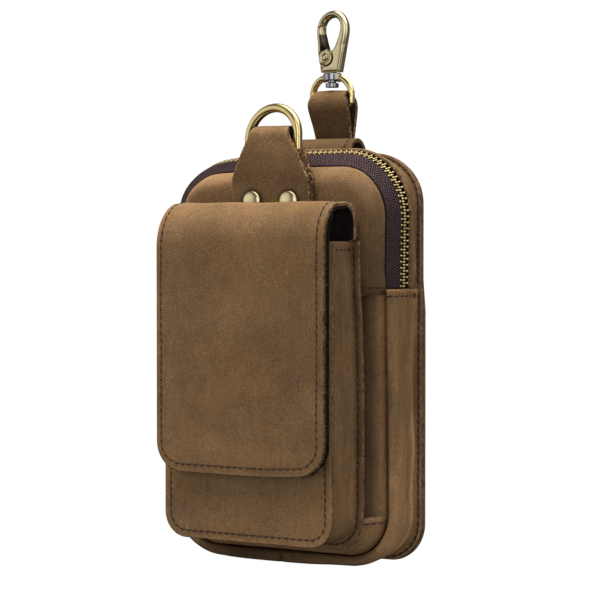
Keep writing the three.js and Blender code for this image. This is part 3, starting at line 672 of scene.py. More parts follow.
def add_stitches(name, lines, sizes):
    """Slanted threads along lines on the leather, with dark discs at the needle holes between them as painted
    shade, and a knot on short rows.
    """
    pitch, length, width = sizes.stitch_pitch * 1000, sizes.stitch_length * 1000, sizes.thread_width * 1000
    rings, sides = 7, 6
    along = np.linspace(-1, 1, rings)[:, None, None]
    angle = np.linspace(0, 2 * math.pi, sides, endpoint=False)[None, :, None]
    radius = width / 2 * np.sqrt(np.clip(1 - along**4, 0.06, 1))
    lift = THREAD_LIFT - THREAD_DIP * along**2
    hole = np.linspace(0, 2 * math.pi, 7)[:-1, None]
    tube = quads(rings, sides + 1)
    tube = tube // (sides + 1) * sides + tube % (sides + 1) % sides
    points, faces, slots, start = [], [], [], 0
    for line, normals in lines:
        lengths = lengths_along(line)
        count = max(int(lengths[-1] / pitch), 1)
        places = (np.arange(count) + 0.5) * lengths[-1] / count
        centre = sampled(line, lengths, places)
        up = unit(sampled(normals, lengths, places))
        ahead = unit(sampled(line, lengths, places + 0.6) - sampled(line, lengths, places - 0.6))
        across = np.cross(up, ahead)
        threads = [(i, THREAD_SLANT, 0) for i in range(count)]
        if lengths[-1] < SHORT_ROW:
            threads += [(count - 1, slant, 0.1) for slant in KNOT_SLANTS]
        for i, slant, higher in threads:
            c, n = centre[i], up[i]
            t = unit(ahead[i] + across[i] * slant)
            s = np.cross(n, t)
            thread = c + t * along * length / 2 + s * radius * np.cos(angle)
            rise = lift + higher + THREAD_FLATNESS * radius * np.sin(angle)
            points.append((thread + n * rise).reshape(-1, 3))
            faces += (tube + start).tolist()
            slots += [0] * len(tube)
            start += rings * sides
            # Flat dark discs at both ends of a thread: painted shade of the needle holes
            for end in (-1, 1):
                middle = c + end * t * (length / 2 + 0.1) + n * 0.05
                points.append(middle + NEEDLE_HOLE * t * np.cos(hole) + NEEDLE_HOLE * s * np.sin(hole))
                faces.append(tuple(range(start, start + len(hole))))
                slots.append(1)
                start += len(hole)
    return add_piece(name, np.concatenate(points), faces, (thread_finish(), needle_hole_finish()), slots)


def add_fuzz(name, line, outward, finish, length, seed):
    """Loose fibres along a raw edge."""
    random = np.random.default_rng(seed)
    lengths = lengths_along(line)
    count = int(lengths[-1] * FUZZ_DENSITY)
    root = sampled(line, lengths, random.uniform(0, lengths[-1], count))
    root = root + random.normal(0, FUZZ_SCATTER, (count, 3))
    way = unit(unit(np.array(outward)) + random.normal(0, FUZZ_SPREAD, (count, 3)))
    aside = unit(np.cross(way, random.normal(0, 1, (count, 3))))
    third = np.cross(way, aside)
    tip = root + way * length * random.uniform(0.35, 1.0, (count, 1))
    ring = [root + FUZZ_RADIUS * (aside * math.cos(a) + third * math.sin(a)) for a in (0, 2.1, 4.2)]
    points = np.stack((*ring, tip), 1).reshape(-1, 3)
    corner = 4 * np.arange(count)[:, None]
    faces = np.concatenate([corner + np.array(face) for face in ((0, 1, 3), (1, 2, 3), (2, 0, 3))])
    return add_piece(name, points, faces.tolist(), (finish,))


def add_brass(node, points, faces, finish, body="bag"):
    """Brass piece that stands for a node of the frame."""
    return add_piece(node + "_brass", points, faces, (finish,), body=body, stands_for=(node,))


def add_tube(node, centres, depth, section, finish):
    """Closed ring: a section of (outwards, sideways) points carried round (x, z) centres at a depth."""
    ahead = unit(np.roll(centres, -1, 0) - np.roll(centres, 1, 0))
    out = np.stack((ahead[:, 1], -ahead[:, 0]), 1)
    count, sides = len(centres), len(section)
    points = np.zeros((count, sides, 3))
    points[..., 0] = centres[:, None, 0] + out[:, None, 0] * section[None, :, 0]
    points[..., 2] = centres[:, None, 1] + out[:, None, 1] * section[None, :, 0]
    points[..., 1] = depth + section[None, :, 1]
    piece = add_brass(node, points.reshape(-1, 3), loft(count, sides, joined=True), finish)
    # Painted shade on the inner side of the ring, towards its middle
    inner = smoothstep(-section[:, 0] / section[:, 0].max(), 0.62, 0.9)
    add_values(piece, "inner", np.tile(inner, count))


def add_cast(node, body, finish, voxel, rounds, shape):
    """Cast brass piece with soft corners over the frame's solid, reshaped by a function of its points."""
    piece = bpy.data.objects.new(node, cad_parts[node].data.copy())
    bpy.context.scene.collection.objects.link(piece)
    remesh = piece.modifiers.new("Cast", "REMESH")
    remesh.mode = "VOXEL"
    remesh.voxel_size = voxel / 1000
    soften = piece.modifiers.new("Soften", "SMOOTH")
    soften.factor = 0.5
    soften.iterations = rounds
    mesh = bpy.data.meshes.new_from_object(piece.evaluated_get(bpy.context.evaluated_depsgraph_get()))
    bpy.data.objects.remove(piece)
    mesh.materials.clear()
    points = np.zeros(3 * len(mesh.vertices), np.float32)
    mesh.vertices.foreach_get("co", points)
    moved = shape(points.reshape(-1, 3) * 1000 + BELT_LOOP_TOP)
    mesh.vertices.foreach_set("co", to_row(moved).astype(np.float32).ravel())
    return place_piece(node + "_brass", mesh, (finish,), None, body, (node,))


def add_turned(node, body, profile, centre, axis, finish, sides):
    """Turned brass piece from a profile of (radius, height) points."""
    profile = np.asarray(profile, float)
    angle = np.linspace(0, 2 * math.pi, sides, endpoint=False)
    axis = unit(np.asarray(axis, float))
    side = unit(np.cross(axis, (0.3, 0.5, 0.8)))
    other = np.cross(axis, side)
    ring = np.cos(angle)[None, :, None] * side + np.sin(angle)[None, :, None] * other
    points = np.asarray(centre) + profile[:, None, :1] * ring + profile[:, None, 1:] * axis
    return add_brass(node, points.reshape(-1, 3), loft(len(profile), sides), finish, body)


# Finishes

class Field:
    """A shader socket that takes part in Python expressions."""

    def __init__(self, finish, socket):
        self.finish = finish
        self.socket = socket

    def math(self, operation, *others):
        return self.finish.math(operation, self, *others)

    def __add__(self, other):
        return self.math("ADD", other)

    def __radd__(self, other):
        return self.math("ADD", other)

    def __sub__(self, other):
        return self.math("SUBTRACT", other)

    def __rsub__(self, other):
        return self.finish.math("SUBTRACT", other, self)

    def __mul__(self, other):
        return self.math("MULTIPLY", other)

    def __rmul__(self, other):
        return self.math("MULTIPLY", other)

    def __truediv__(self, other):
        return self.math("DIVIDE", other)

    def __rtruediv__(self, other):
        return self.finish.math("DIVIDE", other, self)

    def __abs__(self):
        return self.math("ABSOLUTE")

    def other(self, name):
        """Another output of the same node."""
        return Field(self.finish, self.socket.node.outputs[name])

    def between(self, low, high):
        """0 below low, 1 above high and smooth between them."""
        settings = {"interpolation_type": "SMOOTHSTEP", "clamp": True}
        sockets = {"Value": self, "From Min": low, "From Max": high}
        return self.finish.add("ShaderNodeMapRange", settings, sockets)


class Nodes:
    """Node tree that a finish or the studio's surroundings are made of."""

    def __init__(self, owner):
        owner.use_nodes = True
        self.owner = owner
        self.tree = owner.node_tree

    def add(self, kind, settings=None, sockets=None, output=0):
        """Any node: its settings first, then the values or links of its sockets."""
        node = self.tree.nodes.new(kind)
        for name, value in (settings or {}).items():
            setattr(node, name, value)
        for name, value in (sockets or {}).items():
            self.feed(node.inputs[name], value)
        return Field(self, node.outputs[output])

    def feed(self, socket, value):
        """A link or a plain value into a socket."""
        if isinstance(value, Field):
            self.tree.links.new(value.socket, socket)
        else:
            socket.default_value = value

    def math(self, operation, *values):
        return self.add("ShaderNodeMath", {"operation": operation}, dict(enumerate(values)))


class Finish(Nodes):
    """Material of one finish."""

    def __init__(self, name):
        super().__init__(bpy.data.materials.new(name))
        self.shader = self.tree.nodes["Principled BSDF"]

    def mix(self, share, low, high):
        """Colour between two colours."""
        settings = {"data_type": "RGBA", "clamp_factor": True}
        return self.add("ShaderNodeMix", settings, {0: share, 6: low, 7: high}, 2)

    def scaled(self, colour, factor):
        return self.add("ShaderNodeVectorMath", {"operation": "SCALE"}, {0: colour, "Scale": factor})

    def place(self):
        """Place on the piece in metres."""
        return self.add("ShaderNodeTexCoord", output="Object")

    def millimetres(self, stretch=(1, 1, 1)):
        """Place on the piece in millimetres, stretched along the axes."""
        scale = tuple(1000 * value for value in stretch)
        return self.add("ShaderNodeVectorMath", {"operation": "MULTIPLY"}, {0: self.place(), 1: scale})

    def axis(self, name):
        """X, Y or Z of the place on the piece in millimetres."""
        return self.add("ShaderNodeSeparateXYZ", None, {0: self.millimetres()}, name)

    def clouds(self, place, size, detail=3.0, roughness=0.5, distortion=0.0):
        """Soft noise around 0.5 with features of that size."""
        sockets = {
            "Vector": place,
            "Scale": 1 / size,
            "Detail": detail,
            "Roughness": roughness,
            "Distortion": distortion,
        }
        return self.add("ShaderNodeTexNoise", {"noise_dimensions": "3D"}, sockets)

    def value(self, name):
        """A value that the piece's points carry."""
        return self.add("ShaderNodeAttribute", {"attribute_name": name}, output="Fac")

    def surface(self, colour, roughness, height=None, relief=0.0, **constants):
        """Base colour, roughness and relief in metres of the finish, and constants of its shader."""
        self.feed(self.shader.inputs["Base Color"], colour)
        self.feed(self.shader.inputs["Roughness"], roughness)
        for name, value in constants.items():
            self.shader.inputs[name.replace("_", " ")].default_value = value
        if height is not None:
            sockets = {"Height": height, "Distance": relief, "Strength": 1.0}
            self.feed(self.shader.inputs["Normal"], self.add("ShaderNodeBump", None, sockets))
        return self.owner


def made_once(build):
    """A finish is made the first time that a piece asks for it."""
    def finish():
        name = build.__name__.replace("_finish", "")
        return bpy.data.materials.get(name) or build(name)
    return finish


def shade(name, *factors):
    """A colour of the settings times one factor, or times a factor for each channel."""
    colour = getattr(bpy.context.scene.belt_bag_colours, name)
    factors = factors if len(factors) == 3 else 3 * (factors or (1.0,))
    return tuple(channel * factor for channel, factor in zip(colour, factors)) + (1.0,)


@made_once
def oiled_leather_finish(name):
    finish = Finish(name)
    place = finish.millimetres()
    cloud = finish.clouds(place, 42, detail=4, roughness=0.55, distortion=0.4)
    patch = finish.clouds(place, 10, detail=5, roughness=0.62)
    speck = finish.clouds(place, 0.8, roughness=0.7)
    grain = finish.clouds(place, 0.5, detail=2, roughness=0.6).between(0.3, 0.7)
    pores = finish.add("ShaderNodeTexVoronoi", {"feature": "F1"}, {"Vector": place, "Scale": 1.15})
    smudge = finish.clouds(place, 24, distortion=0.8).between(0.54, 0.72)
    warmth = finish.clouds(place, 31, detail=2, distortion=0.6).between(0.5, 0.7)
    streak = finish.clouds(finish.millimetres((0.35, 0.35, 0.07)), 3.2, roughness=0.6, distortion=1.2)
    scratch = 1 - abs(streak - 0.5).between(0.0, 0.008)
    scratch = scratch * finish.clouds(place, 26, detail=2).between(0.56, 0.68)
    groove = 1 - finish.value("seam").between(0.1, 0.8)
    worn = (1 - finish.value("edge").between(0.1, 1.5)) * patch.between(0.3, 0.65)
    crease = finish.value("crease")
    tone = 0.38 * cloud.between(0.25, 0.75) + 0.18 * patch.between(0.28, 0.72)
    tone = tone + 0.44 * speck.between(0.25, 0.75)
    base = finish.mix(tone, shade("leather", 0.55), shade("leather", 1.45))
    base = finish.mix(smudge * 0.3, base, shade("leather", 0.6, 0.66, 0.86))
    base = finish.mix(warmth * 0.3, base, shade("leather", 1.3, 1.15, 0.85))
    base = finish.mix(scratch * 0.4, base, shade("leather", 1.9))
    base = finish.mix(worn * 0.35, base, shade("leather", 1.7))
    # Darker in the stitch groove: painted shade
    base = finish.mix(groove * 0.06, base, shade("leather", 0.45))
    # Along a crease: lighter from pull-up of the oiled leather and as painted highlight, darker beside it as
    # painted shade
    base = finish.mix(crease * 0.85, base, shade("leather", 1.7))
    base = finish.mix(crease * -0.6, base, shade("leather", 0.5))
    drawn = finish.clouds(finish.millimetres((0.7, 0.7, 0.2)), 1.4, roughness=0.65).between(0.3, 0.7) - 0.5
    drawn = drawn * (0.14 + 0.1 * finish.value("drawn"))
    # The tone that the points carry is mostly painted light and shade, set piece by piece, with streaks of
    # drawn leather
    base = finish.scaled(base, finish.value("tone") * (0.76 + 0.48 * grain + drawn))
    rough = 0.58 + 0.16 * patch + 0.1 * speck - 0.06 * scratch
    height = 0.35 * speck + 0.3 * grain + 0.2 * pores + 0.9 * patch - 0.5 * groove - 0.12 * scratch
    return finish.surface(base, rough, height, 0.00022, Specular_IOR_Level=0.14)


def raw_edge(finish, fibre, patch, base):
    """Raw leather: a fibrous, patchy relief under its base colour."""
    return finish.surface(base, 0.88, fibre + patch, 0.0004, Specular_IOR_Level=0.2)


@made_once
def cut_edge_finish(name):
    finish = Finish(name)
    place = finish.millimetres()
    fibre = finish.clouds(place, 0.7, roughness=0.7)
    patch = finish.clouds(place, 2.5, roughness=0.6)
    base = finish.mix(patch.between(0.35, 0.65), shade("cut_edge", 0.3), shade("cut_edge", 0.7))
    base = finish.mix(fibre.between(0.56, 0.66), base, shade("cut_edge", 1.1))
    base = finish.mix((1 - fibre).between(0.56, 0.66), base, shade("cut_edge", 0.08))
    return raw_edge(finish, fibre, patch, base)


@made_once
def torn_edge_finish(name):
    """Rough edge of the tab and the strap, with strong light and dark flecks."""
    finish = Finish(name)
    place = finish.millimetres()
    fibre = finish.clouds(place, 1.1, roughness=0.65)
    patch = finish.clouds(place, 2.5, roughness=0.6)
    base = finish.mix(patch.between(0.35, 0.65), shade("cut_edge", 0.35), shade("cut_edge", 0.8))
    base = finish.mix(fibre.between(0.55, 0.62), base, shade("cut_edge", 1.55))
    base = finish.mix((1 - fibre).between(0.54, 0.61), base, shade("cut_edge", 0.05))
    return raw_edge(finish, fibre, patch, base)


@made_once
def worn_edge_finish(name):
    """Cut edge of the flap, darker at its front and lighter towards its back."""
    finish = Finish(name)
    place = finish.millimetres()
    fibre = finish.clouds(place, 0.7, roughness=0.7)
    patch = finish.clouds(place, 3.5, roughness=0.6)
    base = finish.mix(patch.between(0.35, 0.7), shade("cut_edge", 0.22), shade("cut_edge", 0.6))
    base = finish.mix(fibre.between(0.54, 0.66), base, shade("cut_edge", 1.5))
    base = finish.scaled(base, 1 + 1.1 * finish.axis("Y").between(-64, -50))
    return raw_edge(finish, fibre, patch, base)


@made_once
def suede_back_finish(name):
    finish = Finish(name)
    place = finish.millimetres()
    nap = finish.clouds(place, 0.6, detail=4, roughness=0.75)
    patch = finish.clouds(place, 7, roughness=0.6)
    tone = 0.6 * nap.between(0.25, 0.75) + 0.4 * patch.between(0.3, 0.7)
    # The suede colour carries painted shade
    base = finish.mix(tone, shade("suede", 0.55), shade("suede", 1.3))
    return finish.surface(base, 0.95, nap, 0.0003, Specular_IOR_Level=0.12)


@made_once
def zip_cloth_finish(name):
    """Twill that turns in a zigzag along the tape."""
    finish = Finish(name)
    run = finish.add("ShaderNodeUVMap", {"uv_map": "run"})
    along = finish.add("ShaderNodeSeparateXYZ", None, {0: run})
    zigzag = abs((along.other("Y") / 2.6).math("FRACT") - 0.5)
    yarn = finish.clouds(finish.millimetres(), 0.45, detail=2, roughness=0.6)
    twill = ((along / 1.35 + zigzag * 2.2 + yarn * 0.3) * (2 * math.pi)).math("SINE")
    rib = twill.between(-0.4, 0.5)
    base = finish.mix(rib * 0.85 + (yarn - 0.5) * 1.6, shade("zip_tape", 0.02), shade("zip_tape", 2.7))
    base = finish.scaled(base, finish.value("tone"))
    return finish.surface(base, 0.85, rib + 0.3 * yarn, 0.0004, Specular_IOR_Level=0.12)


@made_once
def felt_lining_finish(name):
    finish = Finish(name)
    fibre = finish.clouds(finish.millimetres((1, 1, 0.5)), 0.7, detail=4, roughness=0.8)
    base = finish.mix(fibre.between(0.3, 0.75), shade("lining", 0.4), shade("lining", 1.9))
    return finish.surface(base, 1.0, fibre, 0.0005, Specular_IOR_Level=0.1)


@made_once
def thread_finish(name):
    finish = Finish(name)
    strand = finish.clouds(finish.millimetres(), 0.5, detail=2, roughness=0.6)
    base = finish.mix(strand.between(0.3, 0.7), shade("thread", 0.6), shade("thread", 1.35))
    return finish.surface(base, 0.8, strand, 0.00012, Specular_IOR_Level=0.1)


@made_once
def needle_hole_finish(name):
    finish = Finish(name)
    dust = finish.clouds(finish.millimetres(), 0.6, detail=2)
    # The dark colour of the flat needle holes is painted shade
    base = finish.mix(dust, shade("needle_hole", 0.7), shade("needle_hole", 1.4))
    return finish.surface(base, 0.95, Specular_IOR_Level=0.1)


def brass_surface(finish, colour, dull, rough):
    """Brass with dull patches, and painted shade where the piece carries an inner value: on the inner side of
    the D-ring and in the groove of the gate pin.
    """
    place = finish.millimetres()
    dullness = finish.clouds(place, 6, detail=4, roughness=0.6).between(0.48, 0.78)
    fine = finish.clouds(place, 0.8, detail=2)
    base = finish.mix(dullness, colour, dull)
    # Painted shade where the piece carries an inner value
    base = finish.mix(finish.value("inner") * 0.9, base, INNER_PAINTED_SHADE)
    roughness = rough + 0.12 * dullness + 0.05 * fine
    return finish.surface(base, roughness, fine, 0.000006, Metallic=1.0)


@made_once
def polished_brass_finish(name):
    return brass_surface(Finish(name), shade("brass"), shade("brass", 0.85), 0.1)


@made_once
def rivet_brass_finish(name):
    return brass_surface(Finish(name), shade("rivet_brass"), shade("rivet_brass", 0.85), 0.16)


@made_once
def zip_brass_finish(name):
    return brass_surface(Finish(name), shade("zip_brass"), shade("zip_brass", 0.6), 0.2)


@made_once
def antique_brass_finish(name):
    """Antique brass above the hook's foot and steel below it."""
    finish = Finish(name)
    foot = HOOK_BASE - BELT_LOOP_TOP[2]
    cast = finish.axis("Z").between(foot - 0.5, foot)
    colour = finish.mix(cast, STEEL, shade("antique_brass"))
    dull = finish.mix(cast, STEEL, shade("antique_brass", 0.75))
    return brass_surface(finish, colour, dull, 0.14)


@made_once
def swivel_finish(name):
    """Brass ring with a steel barrel."""
    finish = Finish(name)
    colour = finish.mix(abs(finish.axis("X")).between(3.6, 4.4), STEEL, shade("brass"))
    return brass_surface(finish, colour, colour, 0.12)


@made_once
def gate_finish(name):
    """Brass round the pivot and at the tip, with painted shade on the inside of the lever, darkest low and
    dark grey higher up.
    """
    finish = Finish(name)
    sockets = {0: finish.place(), 1: tuple(to_row(PIVOT))}
    apart = finish.add("ShaderNodeVectorMath", {"operation": "DISTANCE"}, sockets, "Value")
    height = finish.axis("Z")
    lean = HOOK_LEAN * (height - (LEAN_START - BELT_LOOP_TOP[2])).math("MAXIMUM", 0)
    inside = (finish.axis("X") + GATE_SIDE_SLOPE * height + GATE_SIDE_X - lean).between(1.5, 2.1)
    lever = (apart * 1000).between(*LEVER_START) * inside * (1 - height.between(*LEVER_TOP_Z))
    lever_shade = finish.mix(
        height.between(*LEVER_FADE_Z), shade("antique_brass", 0.02), shade("antique_brass", 0.14))
    colour = finish.mix(lever, shade("antique_brass"), lever_shade)
    dull = finish.mix(lever, shade("antique_brass", 0.75), lever_shade)
    return brass_surface(finish, colour, dull, 0.26)


@made_once
def pale_floor_finish(name):
    finish = Finish(name)
    dust = finish.clouds(finish.millimetres(), 300, detail=2)
    base = finish.mix(dust, shade("floor", 0.98), shade("floor"))
    return finish.surface(
        base, 0.9, Specular_IOR_Level=0.0, Emission_Color=(1, 1, 1, 1), Emission_Strength=1.0)


# Main pouch

def left_shoulder(grid, reach):
    """The left shoulder leans over, so that the zip shows past the panel."""
    x, _, z = axes(grid)
    return shifted(grid, x=-reach * smoothstep(z, *SHOULDER_Z) * (x < 0))


def settled(grid):
    """The top of the bag sinks towards the left, and its back also towards the right."""
    x, y, z = axes(grid)
    sink = SETTLE * smoothstep(-x, *SETTLE_LEFT)
    sink = sink + BACK_SETTLE * smoothstep(x, *BACK_SETTLE_RIGHT) * smoothstep(y, *BACK_SETTLE_Y)
    return shifted(grid, z=-sink * smoothstep(z, *SETTLE_Z))


def build_back_panel(sizes):
    heights = outline_heights(BACK_PANEL)
    taper = np.interp(heights, (HEM_Z - 10, HEM_Z + 4), (0, BACK_PANEL[0] - BACK_TOP_HALF_WIDTH))
    x, z = spread(heights, outline_reach(BACK_PANEL, heights) - taper, np.linspace(-1, 1, 70))
    sheet = Sheet(settled(np.stack((x, np.zeros_like(x), z), -1)), BACKWARDS, STOUT_LEATHER)
    sheet.sew(3.0, "left", "last", "-right", "-first", trim=0)
    sheet.make_leather("back_panel")
    add_stitches("back_panel_stitches", sheet.lines, sizes)


def panel_inset(x, z):
    """Distance of points of the front panel from its outline."""
    half_width, bottom, top, low_radius, high_radius = FRONT_PANEL
    radius = np.where(z > (bottom + top) / 2, high_radius, low_radius)
    aside = np.abs(x) - half_width + radius
    beyond = np.maximum(bottom + radius - z, z - top + radius)
    corner = (aside > 0) & (beyond > 0)
    return np.where(corner, radius - np.hypot(aside, beyond), radius - np.maximum(aside, beyond))


def panel_grid(heights, step):
    """Puffed face of the front panel, that much behind its plateau."""
    even = np.linspace(-1, 1, 76)
    share = np.sign(even) * (1 - (1 - np.abs(even)) ** 1.35)
    x, z = spread(heights, outline_reach(FRONT_PANEL, heights), share)
    rise = 1 - (1 - np.clip(panel_inset(x, z) / SHOULDER, 0, 1)) ** 3
    edge_y = puffed(np.full_like(z, PANEL_EDGE_Y), z)
    return np.stack((x, edge_y + (PLATEAU_Y + step - edge_y) * rise, z), -1)


def panel_tone(node, grid):
    """Painted light and shade of a front panel: painted shade towards the flap and the front pouch, painted
    light where the middle panel turns to the side and all over the lower panel.
    """
    x, _, z = axes(grid)
    if node == "panel_upper":
        return np.interp(z, (120, 145, 170), (0.5, 0.78, 1.1))
    if node == "panel_middle":
        return np.interp(np.abs(x), (46, 49, 51.5, 54.5), (0.36, 0.5, 0.9, 2.0))
    return 1.6


def build_front_panels(sizes):
    """Upper, middle and lower panel: the middle one lies under the folds of the others."""
    heights = outline_heights(FRONT_PANEL)
    cuts = {
        "panel_upper": np.concatenate(([UPPER_SEAM_Z], heights[heights > UPPER_SEAM_Z + 0.4])),
        "panel_middle": np.linspace(LOWER_SEAM_Z - SEAM_LAPS[0], UPPER_SEAM_Z + SEAM_LAPS[1], 62),
        "panel_lower": np.concatenate((heights[heights < LOWER_SEAM_Z - 0.4], [LOWER_SEAM_Z])),
    }
    seams = {"panel_upper": ("first", 3.0), "panel_lower": ("last", 2.6)}
    lines = []
    for seed, (node, rows) in enumerate(cuts.items()):
        grid = panel_grid(rows, 0 if node in seams else SEAM_STEP)
        grid = ripple(grid, FORWARDS, height=0.7, size=22, seed=3.7 + seed)
        if node == "panel_lower":
            sag = 1 - smoothstep(np.abs(grid[..., 0]), 36, 55)
            grid = shifted(grid, z=-LOWER_PANEL_SAG * sag * smoothstep(grid[..., 2], 8, LOWER_SEAM_Z))
        x, _, z = axes(grid)
        grid = shifted(grid, x=-RIGHT_TUCK * smoothstep(x, *PANEL_SIDE) * smoothstep(z, *RIGHT_TUCK_Z))
        lean = -SHOULDER_LEAN * smoothstep(-grid[..., 0], *PANEL_SIDE)
        sheet = Sheet(settled(left_shoulder(grid, lean)), FORWARDS, LEATHER)
        if node in seams:
            side, inset = seams[node]
            sheet.sew(inset, side, trim=1.5)
        sheet.make_leather(node, tone=panel_tone(node, grid))
        lines += sheet.lines
    add_stitches("panel_stitches", lines, sizes)


def waves(grid, free, height, size, seed):
    """Gentle waves across the legs of a strip, where it is free to move."""
    x, y, z = axes(grid)
    sideways = np.sign(x) * smoothstep(np.abs(x), 30, 55)
    return shifted(grid, x=free * height * sideways * noise_at(seed, y / 26, z / size))


def streaks(grid, seed):
    """Light and dark streaks along the legs of a drawn strip."""
    _, y, z = axes(grid)
    wide = noise_at(y / 3.2, z / 22, seed)
    fine = noise_at(y / 1.1, z / 9, seed + 5)
    return 1 + smoothstep(z, 8, 30) * (0.22 * wide + 0.04 * fine)


def crease_strength(grid):
    """How far the crease of the side wall is pressed: it comes and goes along the leg."""
    x, _, z = axes(grid)
    leg = smoothstep(np.abs(x), *LEG_X) * (1 - smoothstep(z, 98, 114))
    return (0.6 + 0.6 * noise_at(4.1, 0, z / 34)) * leg


def creased(grid):
    """Side wall with a pressed crease in front of its flange."""
    x, y, _ = axes(grid)
    ridge = CREASE_DEPTH * (hump(y, -8.0, 1.1) - hump(y, -12.0, 2.6))
    return shifted(grid, x=np.sign(x) * crease_strength(grid) * ridge)


def lower_crease(grid):
    """Painted highlight along the crease of the side wall, also pull-up of the leather, with painted shade in
    front of it.
    """
    y = grid[..., 1]
    return crease_strength(grid) * (hump(y, -8.3, 0.8) - 0.8 * hump(y, -11.0, 1.5))


def upper_crease(grid):
    """Painted highlight that wanders along the legs of the upper strip, also pull-up of the leather, with
    painted shade beside it.
    """
    x, y, z = axes(grid)
    wander = noise_at(6.3, 0, z / 16)
    leg = smoothstep(np.abs(x), *LEG_X) * (1 - smoothstep(z, 146, 162))
    light, dark = (hump(y, 1.6 * wander + place, 0.9) for place in (-6.8, -4.7))
    return leg * (0.8 + 0.6 * wander) * (light - dark)


def add_crease(piece, strength):
    """Painted highlight and painted shade of creases on the outer face of a piece."""
    inner = np.zeros(len(piece.data.vertices) - strength.size)
    add_values(piece, "crease", np.concatenate((strength.ravel(), inner)))


def lower_wall():
    """Grid of both lower side walls: waved and creased, with a ridge at the bottom seam and a sag."""
    wall = run_grid(LOWER_GUSSET, HEM_Z, across=46, rounds=4)
    y = wall[..., 1]
    free = smoothstep(y, -20, -15) * (1 - smoothstep(y, -9, -5))
    wall = creased(waves(wall, free, height=1.5, size=19, seed=2.3))
    x, _, z = axes(wall)
    wall = shifted(wall, z=BOTTOM_RIDGE * hump(x, 0, 0.9) * (z < 30))
    bottom = 1 - smoothstep(wall[..., 2], -1, 2)
    return shifted(wall, z=-BOTTOM_SAG * hump(x, -6, 24) * bottom)


def lower_wall_tone(grid):
    """Painted light and shade of the lower side walls: painted shade underneath and low in the fold at the
    flange, painted light low on the right leg and high in the fold, darker at the bottom seam, times streaks
    of drawn leather.
    """
    x, y, z = axes(grid)
    tone = np.interp(x, (-56, -20, 20, 50), (1.05, 0.36, 0.72, 1.12))
    tone = tone + np.interp(z, (0, 70), (1.3, 0.08)) * smoothstep(x, *LEG_X)
    fold = smoothstep(y, -7.8, -6.0) * (1 - smoothstep(np.abs(x), 60.3, 61.2))
    fold = fold * (1 - 2.4 * smoothstep(z, 92, 112))
    return tone * (1 - 0.6 * hump(x, 0, 1)) * (1 - 0.3 * fold) * streaks(grid, 1.7)


def upper_strip():
    """Grid of the strip behind the zip: waved along its ridge and sunk at the left."""
    strip = run_grid(UPPER_GUSSET, HEM_Z + GAP, across=26, rounds=2)
    strip = waves(strip, hump(strip[..., 1], -6.6, 1.4), height=2.0, size=15, seed=7.1)
    x, y, z = axes(strip)
    sunk = smoothstep(-x, 12, 40) * smoothstep(-y, 5.5, 8)
    strip = shifted(strip, z=-UPPER_STRIP_SAG * sunk * smoothstep(z, 140, 172))
    return settled(left_shoulder(strip, -SHOULDER_LEAN * sunk))


def build_gussets(sizes):
    """Side walls of the main pouch: two lower ones that meet at the bottom, and the strip behind the zip."""
    wall = lower_wall()
    middle = len(wall) // 2
    lines = []
    for side, rows, seam, hem, way in (
        ("right", slice(0, middle + 1), -1, "first", 1),
        ("left", slice(middle, None), 0, "last", -1),
    ):
        grid = np.array(wall[rows])
        grid[seam, :, 0] = way * GAP / 2
        sheet = Sheet(grid, grid - MAIN_HUB, GUSSET_LEATHER)
        sheet.sew(1.3, "right", trim=1)
        sheet.sew(3.0, hem, trim=2)
        drawn = smoothstep(grid[..., 2], 8, 30)
        piece = sheet.make_leather(f"gusset_lower_{side}", bulge=0.1, tone=lower_wall_tone(grid), drawn=drawn)
        add_crease(piece, lower_crease(grid))
        lines += sheet.lines
    strip = upper_strip()
    sheet = Sheet(strip, strip - MAIN_HUB, GUSSET_LEATHER)
    sheet.sew(0.9, "right", trim=1)
    drawn = 1 - smoothstep(strip[..., 2], 150, 165)
    piece = sheet.make_leather("gusset_upper", tone=0.96 * streaks(strip, 3.3), drawn=drawn)
    add_crease(piece, upper_crease(strip))
    add_stitches("gusset_stitches", lines + sheet.lines, sizes)


# Zip

def build_tape(node, rows, lean):
    """Tape of the zip; lean gives how far its front, ridge and back reach out at the left shoulder."""
    columns = 12
    grid = run_grid(rows, HEM_Z + GAP, columns)
    reach = np.interp(np.linspace(0, 1, columns), (0, 0.8, 1), lean)
    grid = settled(left_shoulder(grid, reach[None, :]))
    sheet = Sheet(grid, grid - MAIN_HUB, TAPE_CLOTH)
    # Painted shade towards the left of the tape
    tone = np.interp(grid[..., 0], (-58, -30, 5), (0.5, 0.62, 1))
    piece = sheet.make(node + "_cloth", (zip_cloth_finish(),) * 3, "zip_tape", (node,), bulge=0.2, tone=tone)
    along = lengths_along(grid[:, columns // 2])
    across = lengths_along(grid[len(grid) // 2])
    flat = np.stack(np.meshgrid(along, across, indexing="ij"), -1)
    rim = flat[tuple(sheet.border().T)]
    flat = flat.reshape(-1, 2)
    values = np.concatenate((flat, flat, *(rim,) * Sheet.ROUND))
    layer = piece.data.uv_layers.new(name="run")
    corners = np.zeros(len(piece.data.loops), np.int32)
    piece.data.loops.foreach_get("vertex_index", corners)
    layer.data.foreach_set("uv", values[corners].astype(np.float32).ravel())


def build_tapes():
    build_tape("zip_tape_front", FRONT_TAPE, (-0.3, 2.0, -0.2))
    build_tape("zip_tape_rear", REAR_TAPE, (-0.2, 0, -0.6))


